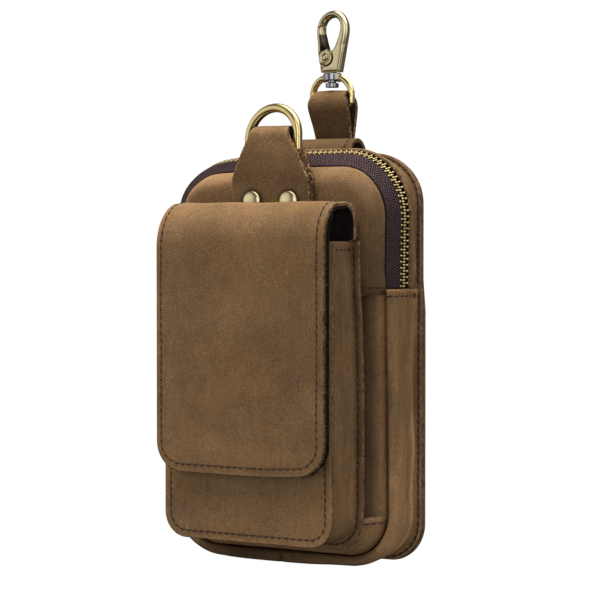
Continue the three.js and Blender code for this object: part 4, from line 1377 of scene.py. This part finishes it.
def build_teeth(sizes):
    """Dog-bone teeth on both sides of the chain, half a pitch apart."""
    strip = settled(run_grid(TEETH, HEM_Z + GAP, across=3))
    normals = grid_normals(strip, strip - MAIN_HUB)
    lengths = lengths_along(strip[:, 1])
    places = np.arange(0.8, lengths[-1] - 0.8, sizes.tooth_pitch * 1000 / 2)
    front, centre, back = (sampled(strip[:, k], lengths, places) for k in range(3))
    across = unit(back - front)
    up = unit(sampled(normals[:, 1], lengths, places))
    along = np.cross(across, up)
    reach, wide, high = (column[:, None, None] for column in np.array(TOOTH).T)
    section = rounded_section(1, 0.6, 10)
    square_cos, square_sin = (column[None, :, None] for column in section.T)
    points, faces = [], []
    for i, (c, a, t, n) in enumerate(zip(centre, across, along, up)):
        side = 1 if i % 2 else -1
        tooth = c + side * a * reach + t * wide * square_cos + n * (high * square_sin - TOOTH_SINK)
        points.append(tooth.reshape(-1, 3))
        made = loft(len(TOOTH), len(section), i * len(section) * len(TOOTH))
        faces += made if side > 0 else [face[::-1] for face in made]
    add_brass("zip_teeth", np.concatenate(points), faces, zip_brass_finish())


def build_slider():
    """Slider with a bridge and a pull near the left end of the teeth."""
    strip = run_grid(TEETH, HEM_Z + GAP, across=3)
    left = strip[len(strip) // 2:]
    front, middle, back = left[np.argmin(np.abs(left[:, 1, 2] - SLIDER_Z))]
    across = unit((back - front) * np.array((1, 1, 0)))
    out = np.array((-across[1], across[0], 0))
    up = np.array((0, 0, 1))
    section = rounded_section(1, 0.5)
    body, pull = ([(*ring, math.pi / 2) for ring in rings] for rings in (SLIDER_BODY, SLIDER_PULL))
    bow = np.radians(np.linspace(0, 180, 15))
    bridge = [(1.5 + 2.0 * math.sin(a), 0.3 + 2.6 * math.cos(a), *SLIDER_BRIDGE, a) for a in bow]
    points, faces = [], []
    for rings in (body, pull, bridge):
        faces += loft(len(rings), len(section), len(points) * len(section))
        for outwards, along, wide, thick, lean in rings:
            aside, deep = (section * (wide, thick)).T[..., None]
            ring = middle + across * aside + out * (outwards + deep * math.sin(lean))
            points.append(ring + up * (along + deep * math.cos(lean)))
    add_brass("zip_slider", np.concatenate(points), faces, zip_brass_finish())


# Front pouch

def pressed(y, z):
    """The pouch's flange lies lower on the middle panel than on its neighbours."""
    share = smoothstep(z, 20, 27) * (1 - smoothstep(z, 111, 118))
    return np.where(y > -30, y + 0.4 + 0.7 * share, y)


def pouch_face():
    """Front of the pouch with its belly."""
    half_width, bottom, top = POUCH[:3]
    heights = outline_heights(POUCH)
    x, z = spread(heights, outline_reach(POUCH, heights), np.linspace(-1, 1, 60))
    belly = POUCH_BELLY * (1 - (x / half_width) ** 2) * np.sin(math.pi * (z - bottom) / (top - bottom))
    return ripple(np.stack((x, POUCH_Y - belly, z), -1), FORWARDS, height=0.8, size=24, seed=11.2)


def pouch_wall():
    """Gusset of the pouch: waved, and narrower towards the mouth."""
    top = POUCH[2]
    wall = run_grid(POUCH_GUSSET, top, across=30, rounds=2, depth=pressed)
    x, y, z = axes(wall)
    narrow = smoothstep(z, 70, top) * np.interp(y, (-46.5, -30), MOUTH_NARROWING)
    wall = shifted(wall, x=-np.sign(x) * narrow)
    free = smoothstep(y, -46, -40) * (1 - smoothstep(y, -36, -30))
    return waves(wall, free, height=1.1, size=30, seed=5.4)


def build_front_pouch(sizes):
    front = Sheet(pouch_face(), FORWARDS, LEATHER)
    front.sew(3.0, "-left", "first", "right", trim=1)
    # The pouch front is lightened all over as painted light
    front.make_leather("pouch_front", tone=1.18)
    wall = pouch_wall()
    gusset = Sheet(wall, wall - POUCH_HUB, GUSSET_LEATHER)
    gusset.sew(2.2, "right", trim=1)
    gusset.sew(0.5, "left", trim=1)
    gusset.sew(3.4, "first", trim=2)
    gusset.sew(3.4, "last", trim=2)
    drawn = smoothstep(wall[..., 2], 20, 40)
    gusset.make_leather("pouch_gusset", tone=1.05 * streaks(wall, 8.3), drawn=drawn)
    add_stitches("pouch_stitches", front.lines + gusset.lines, sizes)


# Flap

def flap_rows(share):
    """y and z of the flap's rows: up behind the pouch, over its mouth, rounder at the left, and down."""
    loose = 1 - smoothstep(share, -1, -0.35)
    deep, tall = (size + more * loose for size, more in zip(FLAP_FRONT_BEND, FLAP_LOOSE_BEND))
    ones = np.ones_like(share)
    straight = np.linspace(FLAP_TAIL_BOTTOM, FLAP_TOP - FLAP_BACK_RADIUS, 18)
    rows = [(FLAP_BACK_Y * ones, z * ones) for z in straight]
    for a in QUARTER_TURN[1:]:
        y = FLAP_BACK_Y - FLAP_BACK_RADIUS * (1 - np.cos(a))
        rows.append((y * ones, (FLAP_TOP - FLAP_BACK_RADIUS * (1 - np.sin(a))) * ones))
    for a in QUARTER_TURN[3:]:
        rows.append((FLAP_FRONT_Y + deep * (1 - np.sin(a)), FLAP_TOP - tall * (1 - np.cos(a))))
    start = rows[-1][1]
    for s in np.linspace(0, 1, 58)[1:]:
        rows.append((FLAP_FRONT_Y * ones, start + (FLAP_BOTTOM + FLAP_CORNER - start) * s))
    for a in QUARTER_TURN[1:]:
        rows.append((FLAP_FRONT_Y * ones, (FLAP_BOTTOM + FLAP_CORNER * (1 - np.sin(a))) * ones))
    return (np.stack(values) for values in zip(*rows))


def flap_grid():
    """Middle face of the flap: narrower at its tail, with round lower corners and room for the ring tab."""
    share = np.linspace(-1, 1, 64)
    y, z = flap_rows(share)
    into = np.where(y < FLAP_FRONT_Y + 1, np.clip(FLAP_BOTTOM + FLAP_CORNER - z, 0, FLAP_CORNER), 0)
    corner = FLAP_CORNER - np.sqrt(FLAP_CORNER**2 - into**2)
    x = share[None, :] * (FLAP_HALF_WIDTH - corner)
    tail = np.where(y > FLAP_BACK_Y - 1, 1 - smoothstep(z, *FLAP_TAIL_Z), 0)
    x = x * (1 - tail * (1 - FLAP_TAIL_HALF_WIDTH / FLAP_HALF_WIDTH))
    middle = 1 - smoothstep(np.abs(x), 20, 37)
    back = smoothstep(y, FLAP_FRONT_Y + 4, FLAP_BACK_Y)
    lift = FLAP_RIGHT_LIFT * smoothstep(x, 5, 40) * (1 - smoothstep(z, 40, 75))
    return np.stack((x, y - TAB_ROOM * middle * back, z + lift), -1)


def build_flap(sizes):
    middle = flap_grid()
    hub = middle - FLAP_HUB
    outer = middle + grid_normals(middle, hub) * LEATHER / 2
    outer = ripple(outer, hub, height=0.9, size=26, seed=19.4)
    outer = shifted(outer, x=-FLAP_RIGHT_TUCK * smoothstep(outer[..., 0], 20, FLAP_HALF_WIDTH))
    flap = Sheet(outer, hub, LEATHER)
    flap.sew(
        lambda points: 3.2 - 0.9 * smoothstep(-points[:, 0], 34, 43), "left", "last", "-right",
        trim=1, keep=lambda line: (line[:, 1] < -36) | (line[:, 2] > 154))
    # Painted shade towards the right of the flap
    tone = np.interp(middle[..., 0], (0, 42), (0.98, 0.88))
    flap.make_leather("flap", worn_edge_finish, tone=tone)
    add_stitches("flap_stitches", flap.lines, sizes)
    rim = shifted(middle[:, -1], x=-0.5)
    add_fuzz("flap_edge_fuzz", rim, (1.0, 0.1, 0), worn_edge_finish(), length=1.3, seed=6)


def build_flap_lining():
    """Felt under the flap, with its turned edge and loose fibres at the right, which reach back into the gap
    to the pouch as a dark fill of painted shade.
    """
    middle = flap_grid()
    hub = middle - FLAP_HUB
    lined = middle - grid_normals(middle, hub) * (LEATHER / 2 + 1.5 * GAP)
    lined[..., 0] *= 1 - LINING_INSET / FLAP_HALF_WIDTH
    felt = felt_lining_finish()
    faces = (felt, felt, felt)
    lining = Sheet(lined, hub, LINING_CLOTH)
    piece = lining.make("flap_lining_felt", faces, "lining", ("flap_lining",), bulge=0.3)
    cut = (2 * (FLAP_HALF_WIDTH - LINING_INSET) / 1000, lengths_along(lined[:, 32])[-1] / 1000)
    area = min(sheet_area(lined), cut[0] * cut[1])
    side = lined[lined[:, -1, 1] < FLAP_FRONT_Y + 6][:, -1]
    outward = np.array((1, 0.3, 0))
    # The turned edge and its fibres reach back to the pouch: felt, and partly painted shade for the shadowed
    # gap
    fold = np.stack([shifted(side, x=0.3, y=0.62 * k - 0.4) for k in range(5)], 1)
    fold = ripple(fold, outward, height=0.8, size=3, seed=41.7, still=1)
    Sheet(fold, outward, LINING_CLOTH).make("flap_lining_edge_felt", faces, "lining", ())
    add_fuzz("flap_lining_fuzz", fold[:, 1], (1.0, 0.5, 0), felt, length=1.2, seed=5)


# Ring tab

def folded_line(parts, rounds, step):
    """Even line of (y, z) points from points and from half turns over a bar, given by centre and radius."""
    points = []
    for place, size in parts:
        points += arc(place, size, 180, 0) if isinstance(place, tuple) else [(place, size)]
    return resampled(eased(resampled(points, step=0.5), rounds), step=step)


def build_ring_tab(sizes):
    line = folded_line(TAB_LINE, rounds=8, step=0.8)
    middle = shifted(strip_grid(line, TAB_WIDTHS, columns=60), x=TAB_X)
    hub = middle - TAB_HUB
    outer = middle + grid_normals(middle, hub) * LEATHER / 2
    tab = Sheet(ripple(outer, hub, height=0.4, size=14, seed=23.9, still=4), hub, LEATHER)
    x, _, z = axes(middle)
    # Painted shade low on the tab and painted light at its top, with a ring of painted shadow round each
    # rivet
    tone = np.interp(z, (156, 186), (0.68, 1.14))
    for rivet_x in RIVETS.values():
        apart = np.hypot(x - rivet_x - TAB_X, z - RIVET_Z)
        tone = tone * (1 - 0.65 * hump(apart, RIVET_RADIUS + 0.4, 0.9))
    torn = torn_edge_finish()
    tab.make("ring_tab_leather", (oiled_leather_finish(), torn, torn), "leather", ("ring_tab",), tone=tone)
    add_fuzz("ring_tab_fuzz", middle[:, -1], (1.0, 0, 0), torn, length=1.0, seed=7)
    x, y = TAB_SIDE_SEAM
    side = np.stack([(x + TAB_X, y, height) for height in np.arange(*TAB_SIDE_SEAM_Z, 0.8)])
    add_stitches("ring_tab_stitches", [(side, np.repeat([(1.0, 0, 0)], len(side), 0))], sizes)


def build_d_ring():
    """Ring of round wire with an arch above and a straight bar below, which leans with the tab."""
    half_turn = np.linspace(0, math.pi, 90)
    path = [(RING_HALF_WIDTH * math.cos(a), RING_ARCH + RING_RISE * math.sin(a)) for a in half_turn]
    for side, start in ((-1, 180), (1, 270)):
        centre = (side * (RING_HALF_WIDTH - RING_CORNER), RING_LOW + RING_CORNER)
        path += arc(centre, RING_CORNER, start, start + 90, 14)
    centres = resampled(np.array(path + path[:1]), step=0.5)[:-1]
    centres[:, 0] += TAB_X + RING_LEAN * np.maximum(centres[:, 1] - RING_ARCH, 0)
    add_tube("d_ring", centres, RING_Y, rounded_section(RING_WIRE, 0.85, 28), polished_brass_finish())


def build_rivets():
    turn = np.radians(np.linspace(0, 88, 14))
    dome = [(RIVET_RADIUS * math.cos(a), 0.55 + 1.3 * math.sin(a)) for a in turn]
    profile = [(RIVET_RADIUS - 0.2, 0.0), (RIVET_RADIUS, 0.15), (RIVET_RADIUS + 0.05, 0.35), *dome]
    for side, x in RIVETS.items():
        centre = (x + TAB_X, RIVET_FACE_Y, RIVET_Z)
        add_turned(f"rivet_{side}", "bag", profile, centre, FORWARDS, rivet_brass_finish(), 40)


# Belt loop and hook strap

def build_loop():
    line = folded_line(LOOP_LINE, rounds=16, step=1.5)
    middle = strip_grid(line, LOOP_WIDTHS, columns=28)
    hub = middle - LOOP_HUB
    outer = middle + grid_normals(middle, hub) * STOUT_LEATHER / 2
    loop = Sheet(ripple(outer, hub, height=0.5, size=18, seed=31.3), hub, STOUT_LEATHER)
    loop.sew(3.0, "left", trim=4)
    loop.sew(3.0, "right", trim=4)
    loop.sew(3.0, "last", trim=3)
    # The belt loop is darkened all over as painted shade
    loop.make_leather("belt_loop", tone=0.56)
    return loop.lines


def build_strap():
    line = folded_line(STRAP_LINE, rounds=8, step=1.1)
    middle = strip_grid(line, STRAP_WIDTHS, columns=20)
    hub = middle - STRAP_HUB
    outer = middle + grid_normals(middle, hub) * LEATHER / 2
    strap = Sheet(ripple(outer, hub, height=0.4, size=12, seed=37.7, still=4), hub, LEATHER)
    strap.sew(2.5, "last", trim=2)
    # Painted shade low on the strap
    tone = np.interp(middle[..., 2], (186, 208), (0.56, 0.9))
    strap.make_leather("hook_strap", torn_edge_finish, tone=tone)
    add_fuzz("hook_strap_fuzz", middle[:, -1], (1.0, 0, 0), torn_edge_finish(), length=0.8, seed=8)
    return strap.lines


def build_belt_loop(sizes):
    """Belt loop and hook strap, sewn with one thread."""
    lines = build_loop() + build_strap()
    add_stitches("belt_loop_stitches", lines, sizes)


# Snap hook

def leaning(points):
    """The hook leans a little to the right above its pivot."""
    return shifted(points, x=HOOK_LEAN * np.maximum(points[:, 2] - LEAN_START, 0))


def rounded_hook(points):
    """The casting rounds over from its outline and its eye to its faces, most of all on the bow."""
    rim = np.concatenate((curved(*HOOK_OUTLINE), curved(*HOOK_EYE)))
    rim = np.stack((rim[:, 0], 0 * rim[:, 0], rim[:, 1] + HOOK_BASE), 1)
    inset = distance_to(points * np.array((1, 0, 1)), resampled(rim, step=0.3))
    bow = smoothstep(points[:, 2], LEAN_START - 1, LEAN_START + 3)
    reach = 1.9 + 0.4 * bow
    depth = 0.4 + 0.3 * bow
    rounding = np.sqrt(1 - (1 - np.clip(inset / reach, 0, 1)) ** 2)
    level = 1 - depth * (1 - rounding)
    level = np.where(points[:, 2] > HOOK_BASE + 0.1, level, 1)
    moved = leaning(points)
    moved[:, 1] = PIVOT[1] + (points[:, 1] - PIVOT[1]) * level
    return moved


def raised_shoulders(points):
    """The swivel ring is square at the shoulders beside its barrel."""
    x, _, z = axes(points)
    return shifted(points, z=RING_SHOULDER_RISE * smoothstep(z, 210, 215) * smoothstep(np.abs(x), 3.6, 5))


def build_snap_hook():
    antique = antique_brass_finish()
    add_cast("swivel_ring", "bag", swivel_finish(), voxel=0.22, rounds=10, shape=raised_shoulders)
    add_cast("hook_body", "hook", antique, voxel=0.17, rounds=10, shape=rounded_hook)
    add_cast("gate", "gate", gate_finish(), voxel=0.16, rounds=8, shape=rounded_hook)
    sides = 32
    profile = [(radius, -height) for radius, height in PIN_HEAD[::-1]] + [*PIN_SHANK, *PIN_HEAD]
    pin = add_turned("gate_pin", "hook", profile, PIVOT, BACKWARDS, antique, sides)
    # Painted shade in the groove of the pin's head
    add_values(pin, "inner", np.repeat([abs(height) == PIN_GROOVE for radius, height in profile], sides))


# Studio

def build_camera(stage):
    scene = bpy.context.scene
    camera = bpy.data.objects.new("camera", bpy.data.cameras.new("camera"))
    scene.collection.objects.link(camera)
    camera.data.sensor_width = 36
    camera.data.lens = stage.lens
    camera.data.clip_start = 0.05
    ahead = Vector((-math.sin(stage.azimuth), math.cos(stage.azimuth), 0))
    right = Vector((math.cos(stage.azimuth), math.sin(stage.azimuth), 0))
    aim = ahead + right * math.tan(stage.turn) - Vector((0, 0, math.tan(stage.tilt)))
    camera.location = stage.camera_place
    camera.rotation_mode = "QUATERNION"
    camera.rotation_quaternion = aim.to_track_quat("-Z", "Y")
    scene.camera = camera


def build_floor():
    """Lit floor just under the bag, which casts no light on it."""
    low = CAD_BOX[0].z - FLOOR_GAP
    corners = [(x * FLOOR_REACH, y * FLOOR_REACH, low) for x, y in ((-1, -1), (1, -1), (1, 1), (-1, 1))]
    mesh = bpy.data.meshes.new("floor")
    mesh.from_pydata(corners, [], [(0, 1, 2, 3)])
    mesh.materials.append(pale_floor_finish())
    floor = bpy.data.objects.new("floor", mesh)
    bpy.context.scene.collection.objects.link(floor)
    floor.visible_diffuse = False
    floor.visible_glossy = False


def build_surroundings(stage):
    """White backdrop for the camera, cards for the brass and an even fill for the rest."""
    world = bpy.data.worlds.new("studio")
    bpy.context.scene.world = world
    around = Nodes(world)
    way = around.add("ShaderNodeTexCoord")
    above = around.add("ShaderNodeSeparateXYZ", None, {0: way}, "Z").between(-0.5, -0.1)
    cards = CARD_GREY_BELOW + (CARD_GREY - CARD_GREY_BELOW) * above
    for card, narrow, wide, bright in CARDS:
        facing = around.add("ShaderNodeVectorMath", {"operation": "DOT_PRODUCT"}, {0: way, 1: card}, "Value")
        cards = cards + bright * facing.between(wide, narrow)
    seen = around.add("ShaderNodeLightPath", output="Is Camera Ray")
    mirrored = seen.other("Is Glossy Ray")
    strength = stage.fill + (BACKDROP - stage.fill) * seen + (cards - stage.fill) * mirrored
    background = around.tree.nodes["Background"]
    around.feed(background.inputs["Color"], (1, 1, 1, 1))
    around.feed(background.inputs["Strength"], strength)


def build_lights(stage):
    for name, (direction, angle) in LIGHTS.items():
        light = bpy.data.objects.new(name, bpy.data.lights.new(name, "SUN"))
        bpy.context.scene.collection.objects.link(light)
        light.data.energy = getattr(stage, name)
        light.data.angle = math.radians(angle)
        light.visible_glossy = False
        light.rotation_mode = "QUATERNION"
        light.rotation_quaternion = Vector(direction).to_track_quat("Z", "Y")


# Settings, operators and panel

def colour_setting(name, description, default):
    return bpy.props.FloatVectorProperty(
        name=name, description=description, default=default, subtype="COLOR", min=0, max=1, size=3)


def length_setting(name, description, default):
    return bpy.props.FloatProperty(
        name=name, description=description, default=default,
        subtype="DISTANCE", unit="LENGTH", min=0, precision=4)


def angle_setting(name, description, degrees):
    return bpy.props.FloatProperty(
        name=name, description=description, default=math.radians(degrees), subtype="ANGLE")


def strength_setting(name, description, default):
    return bpy.props.FloatProperty(name=name, description=description, default=default, min=0)


class BeltBagColours(bpy.types.PropertyGroup):
    """Colours of the bag's finishes"""

    leather: colour_setting("Leather", "Oiled face of the leather", (0.146, 0.0845, 0.0393))
    cut_edge: colour_setting("Cut edge", "Raw edge of the leather", (0.27, 0.16, 0.078))
    # The suede colour is darkened as painted shade for the gaps where the flesh side shows
    suede: colour_setting("Suede", "Flesh side of the leather", (0.05, 0.03, 0.017))
    zip_tape: colour_setting("Zip tape", "Woven tape of the zip", (0.037, 0.023, 0.0235))
    lining: colour_setting("Lining", "Felt inside the flap", (0.012, 0.009, 0.008))
    thread: colour_setting("Thread", "Sewing thread", (0.044, 0.03, 0.023))
    # Flat needle holes: their dark colour is painted shade
    needle_hole: colour_setting("Needle hole", "Holes of the stitches", (0.012, 0.008, 0.005))
    brass: colour_setting("Brass", "Rings of the tab and the swivel", (0.8, 0.63, 0.29))
    rivet_brass: colour_setting("Rivet brass", "Rivets of the tab", (0.8, 0.67, 0.38))
    antique_brass: colour_setting("Antique brass", "Snap hook", (0.7, 0.585, 0.35))
    zip_brass: colour_setting("Zip brass", "Teeth and slider of the zip", (0.5, 0.38, 0.17))
    floor: colour_setting("Floor", "Plain lit floor", (0.02, 0.02, 0.02))


class BeltBagSizes(bpy.types.PropertyGroup):
    """Sizes of the bag's stitching and zip"""

    stitch_pitch: length_setting("Stitch pitch", "From one stitch to the next", 0.0034)
    stitch_length: length_setting("Stitch length", "Length of the thread that shows", 0.0023)
    thread_width: length_setting("Thread width", "Width of the thread", 0.00076)
    tooth_pitch: length_setting("Tooth pitch", "Zip teeth on one side of the chain", 0.00265)


class BeltBagStage(bpy.types.PropertyGroup):
    """Camera and lights of the studio"""

    lens: bpy.props.FloatProperty(name="Lens", description="Focal length", default=132, unit="CAMERA", min=1)
    azimuth: angle_setting("Azimuth", "Way round the bag from its front", 32)
    tilt: angle_setting("Tilt", "Downward tilt of the camera", 1.757)
    turn: angle_setting("Turn", "Turn of the camera to its right", -0.14)
    camera_place: bpy.props.FloatVectorProperty(
        name="Camera place", description="Where the camera stands", default=(0.5299, -0.8641, -0.0412),
        subtype="TRANSLATION", unit="LENGTH")
    key: strength_setting("Key light", "Soft light from above", 9.3)
    front: strength_setting("Front light", "Soft light from the front left", 1.4)
    side: strength_setting("Side light", "Soft light from the right", 0.9)
    low: strength_setting("Low light", "Soft light from the low right", 1.8)
    back: strength_setting("Back light", "Soft light from behind", 2.2)
    fill: strength_setting("Fill", "Light from all round", 0.1)


class BELTBAG_OT_stage(bpy.types.Operator):
    """Set up the camera, the lights and the pale floor"""

    bl_idname = "belt_bag.stage"
    bl_label = "Studio"

    def execute(self, context):
        stage = context.scene.belt_bag_stage
        context.scene.view_settings.view_transform = "Standard"
        build_camera(stage)
        build_floor()
        build_surroundings(stage)
        build_lights(stage)
        return {"FINISHED"}


class BELTBAG_OT_back_panel(bpy.types.Operator):
    """Cut and sew the back panel of the main pouch"""

    bl_idname = "belt_bag.back_panel"
    bl_label = "Back panel"

    def execute(self, context):
        build_back_panel(context.scene.belt_bag_sizes)
        return {"FINISHED"}


class BELTBAG_OT_front_panels(bpy.types.Operator):
    """Cut and sew the upper, middle and lower front panel of the main pouch"""

    bl_idname = "belt_bag.front_panels"
    bl_label = "Front panels"

    def execute(self, context):
        build_front_panels(context.scene.belt_bag_sizes)
        return {"FINISHED"}


class BELTBAG_OT_gussets(bpy.types.Operator):
    """Fold and sew the gussets of the main pouch"""

    bl_idname = "belt_bag.gussets"
    bl_label = "Gussets"

    def execute(self, context):
        build_gussets(context.scene.belt_bag_sizes)
        return {"FINISHED"}


class BELTBAG_OT_zip_tapes(bpy.types.Operator):
    """Lay both tapes of the zip"""

    bl_idname = "belt_bag.zip_tapes"
    bl_label = "Zip tapes"

    def execute(self, context):
        build_tapes()
        return {"FINISHED"}


class BELTBAG_OT_zip_teeth(bpy.types.Operator):
    """Set the teeth of the zip"""

    bl_idname = "belt_bag.zip_teeth"
    bl_label = "Zip teeth"

    def execute(self, context):
        build_teeth(context.scene.belt_bag_sizes)
        return {"FINISHED"}


class BELTBAG_OT_zip_slider(bpy.types.Operator):
    """Put the slider on the teeth"""

    bl_idname = "belt_bag.zip_slider"
    bl_label = "Zip slider"

    def execute(self, context):
        build_slider()
        return {"FINISHED"}


class BELTBAG_OT_front_pouch(bpy.types.Operator):
    """Cut and sew the front pouch with its gusset"""

    bl_idname = "belt_bag.front_pouch"
    bl_label = "Front pouch"

    def execute(self, context):
        build_front_pouch(context.scene.belt_bag_sizes)
        return {"FINISHED"}


class BELTBAG_OT_flap(bpy.types.Operator):
    """Lay the flap over the front pouch"""

    bl_idname = "belt_bag.flap"
    bl_label = "Flap"

    def execute(self, context):
        build_flap(context.scene.belt_bag_sizes)
        return {"FINISHED"}


class BELTBAG_OT_flap_lining(bpy.types.Operator):
    """Line the flap with felt"""

    bl_idname = "belt_bag.flap_lining"
    bl_label = "Flap lining"

    def execute(self, context):
        build_flap_lining()
        return {"FINISHED"}


class BELTBAG_OT_ring_tab(bpy.types.Operator):
    """Fold the tab that holds the ring"""

    bl_idname = "belt_bag.ring_tab"
    bl_label = "Ring tab"

    def execute(self, context):
        build_ring_tab(context.scene.belt_bag_sizes)
        return {"FINISHED"}


class BELTBAG_OT_d_ring(bpy.types.Operator):
    """Bend the ring of the tab"""

    bl_idname = "belt_bag.d_ring"
    bl_label = "Ring"

    def execute(self, context):
        build_d_ring()
        return {"FINISHED"}


class BELTBAG_OT_rivets(bpy.types.Operator):
    """Rivet the tab down"""

    bl_idname = "belt_bag.rivets"
    bl_label = "Rivets"

    def execute(self, context):
        build_rivets()
        return {"FINISHED"}


class BELTBAG_OT_belt_loop(bpy.types.Operator):
    """Fold and sew the belt loop and the hook strap"""

    bl_idname = "belt_bag.belt_loop"
    bl_label = "Belt loop"

    def execute(self, context):
        build_belt_loop(context.scene.belt_bag_sizes)
        return {"FINISHED"}


class BELTBAG_OT_snap_hook(bpy.types.Operator):
    """Cast the swivel snap hook with its gate"""

    bl_idname = "belt_bag.snap_hook"
    bl_label = "Snap hook"

    def execute(self, context):
        build_snap_hook()
        return {"FINISHED"}


class BELTBAG_PT_pieces(bpy.types.Panel):
    """Pieces of the bag in building order, with the settings that they follow"""

    bl_idname = "BELTBAG_PT_pieces"
    bl_label = "Belt bag"
    bl_space_type = "VIEW_3D"
    bl_region_type = "UI"
    bl_category = "Belt bag"

    def draw(self, context):
        for operator in OPERATORS:
            self.layout.operator(operator.bl_idname)
        for owner, settings in SETTINGS.items():
            for name in settings.__annotations__:
                self.layout.prop(getattr(context.scene, owner), name)


OPERATORS = (
    BELTBAG_OT_stage,
    BELTBAG_OT_back_panel,
    BELTBAG_OT_front_panels,
    BELTBAG_OT_gussets,
    BELTBAG_OT_zip_tapes,
    BELTBAG_OT_zip_teeth,
    BELTBAG_OT_zip_slider,
    BELTBAG_OT_front_pouch,
    BELTBAG_OT_flap,
    BELTBAG_OT_flap_lining,
    BELTBAG_OT_ring_tab,
    BELTBAG_OT_d_ring,
    BELTBAG_OT_rivets,
    BELTBAG_OT_belt_loop,
    BELTBAG_OT_snap_hook,
)
SETTINGS = {
    "belt_bag_colours": BeltBagColours,
    "belt_bag_sizes": BeltBagSizes,
    "belt_bag_stage": BeltBagStage,
}


def register():
    for made in (*SETTINGS.values(), *OPERATORS, BELTBAG_PT_pieces):
        bpy.utils.register_class(made)
    for name, group in SETTINGS.items():
        setattr(bpy.types.Scene, name, bpy.props.PointerProperty(type=group))


def unregister():
    for name in SETTINGS:
        delattr(bpy.types.Scene, name)
    for made in (BELTBAG_PT_pieces, *reversed(OPERATORS), *SETTINGS.values()):
        bpy.utils.unregister_class(made)


def main():
    register()
    bpy.ops.belt_bag.stage()
    bpy.ops.belt_bag.back_panel()
    bpy.ops.belt_bag.front_panels()
    bpy.ops.belt_bag.gussets()
    bpy.ops.belt_bag.zip_tapes()
    bpy.ops.belt_bag.zip_teeth()
    bpy.ops.belt_bag.zip_slider()
    bpy.ops.belt_bag.front_pouch()
    bpy.ops.belt_bag.flap()
    bpy.ops.belt_bag.flap_lining()
    bpy.ops.belt_bag.ring_tab()
    bpy.ops.belt_bag.d_ring()
    bpy.ops.belt_bag.rivets()
    bpy.ops.belt_bag.belt_loop()
    bpy.ops.belt_bag.snap_hook()


if __name__ == "__main__":
    main()
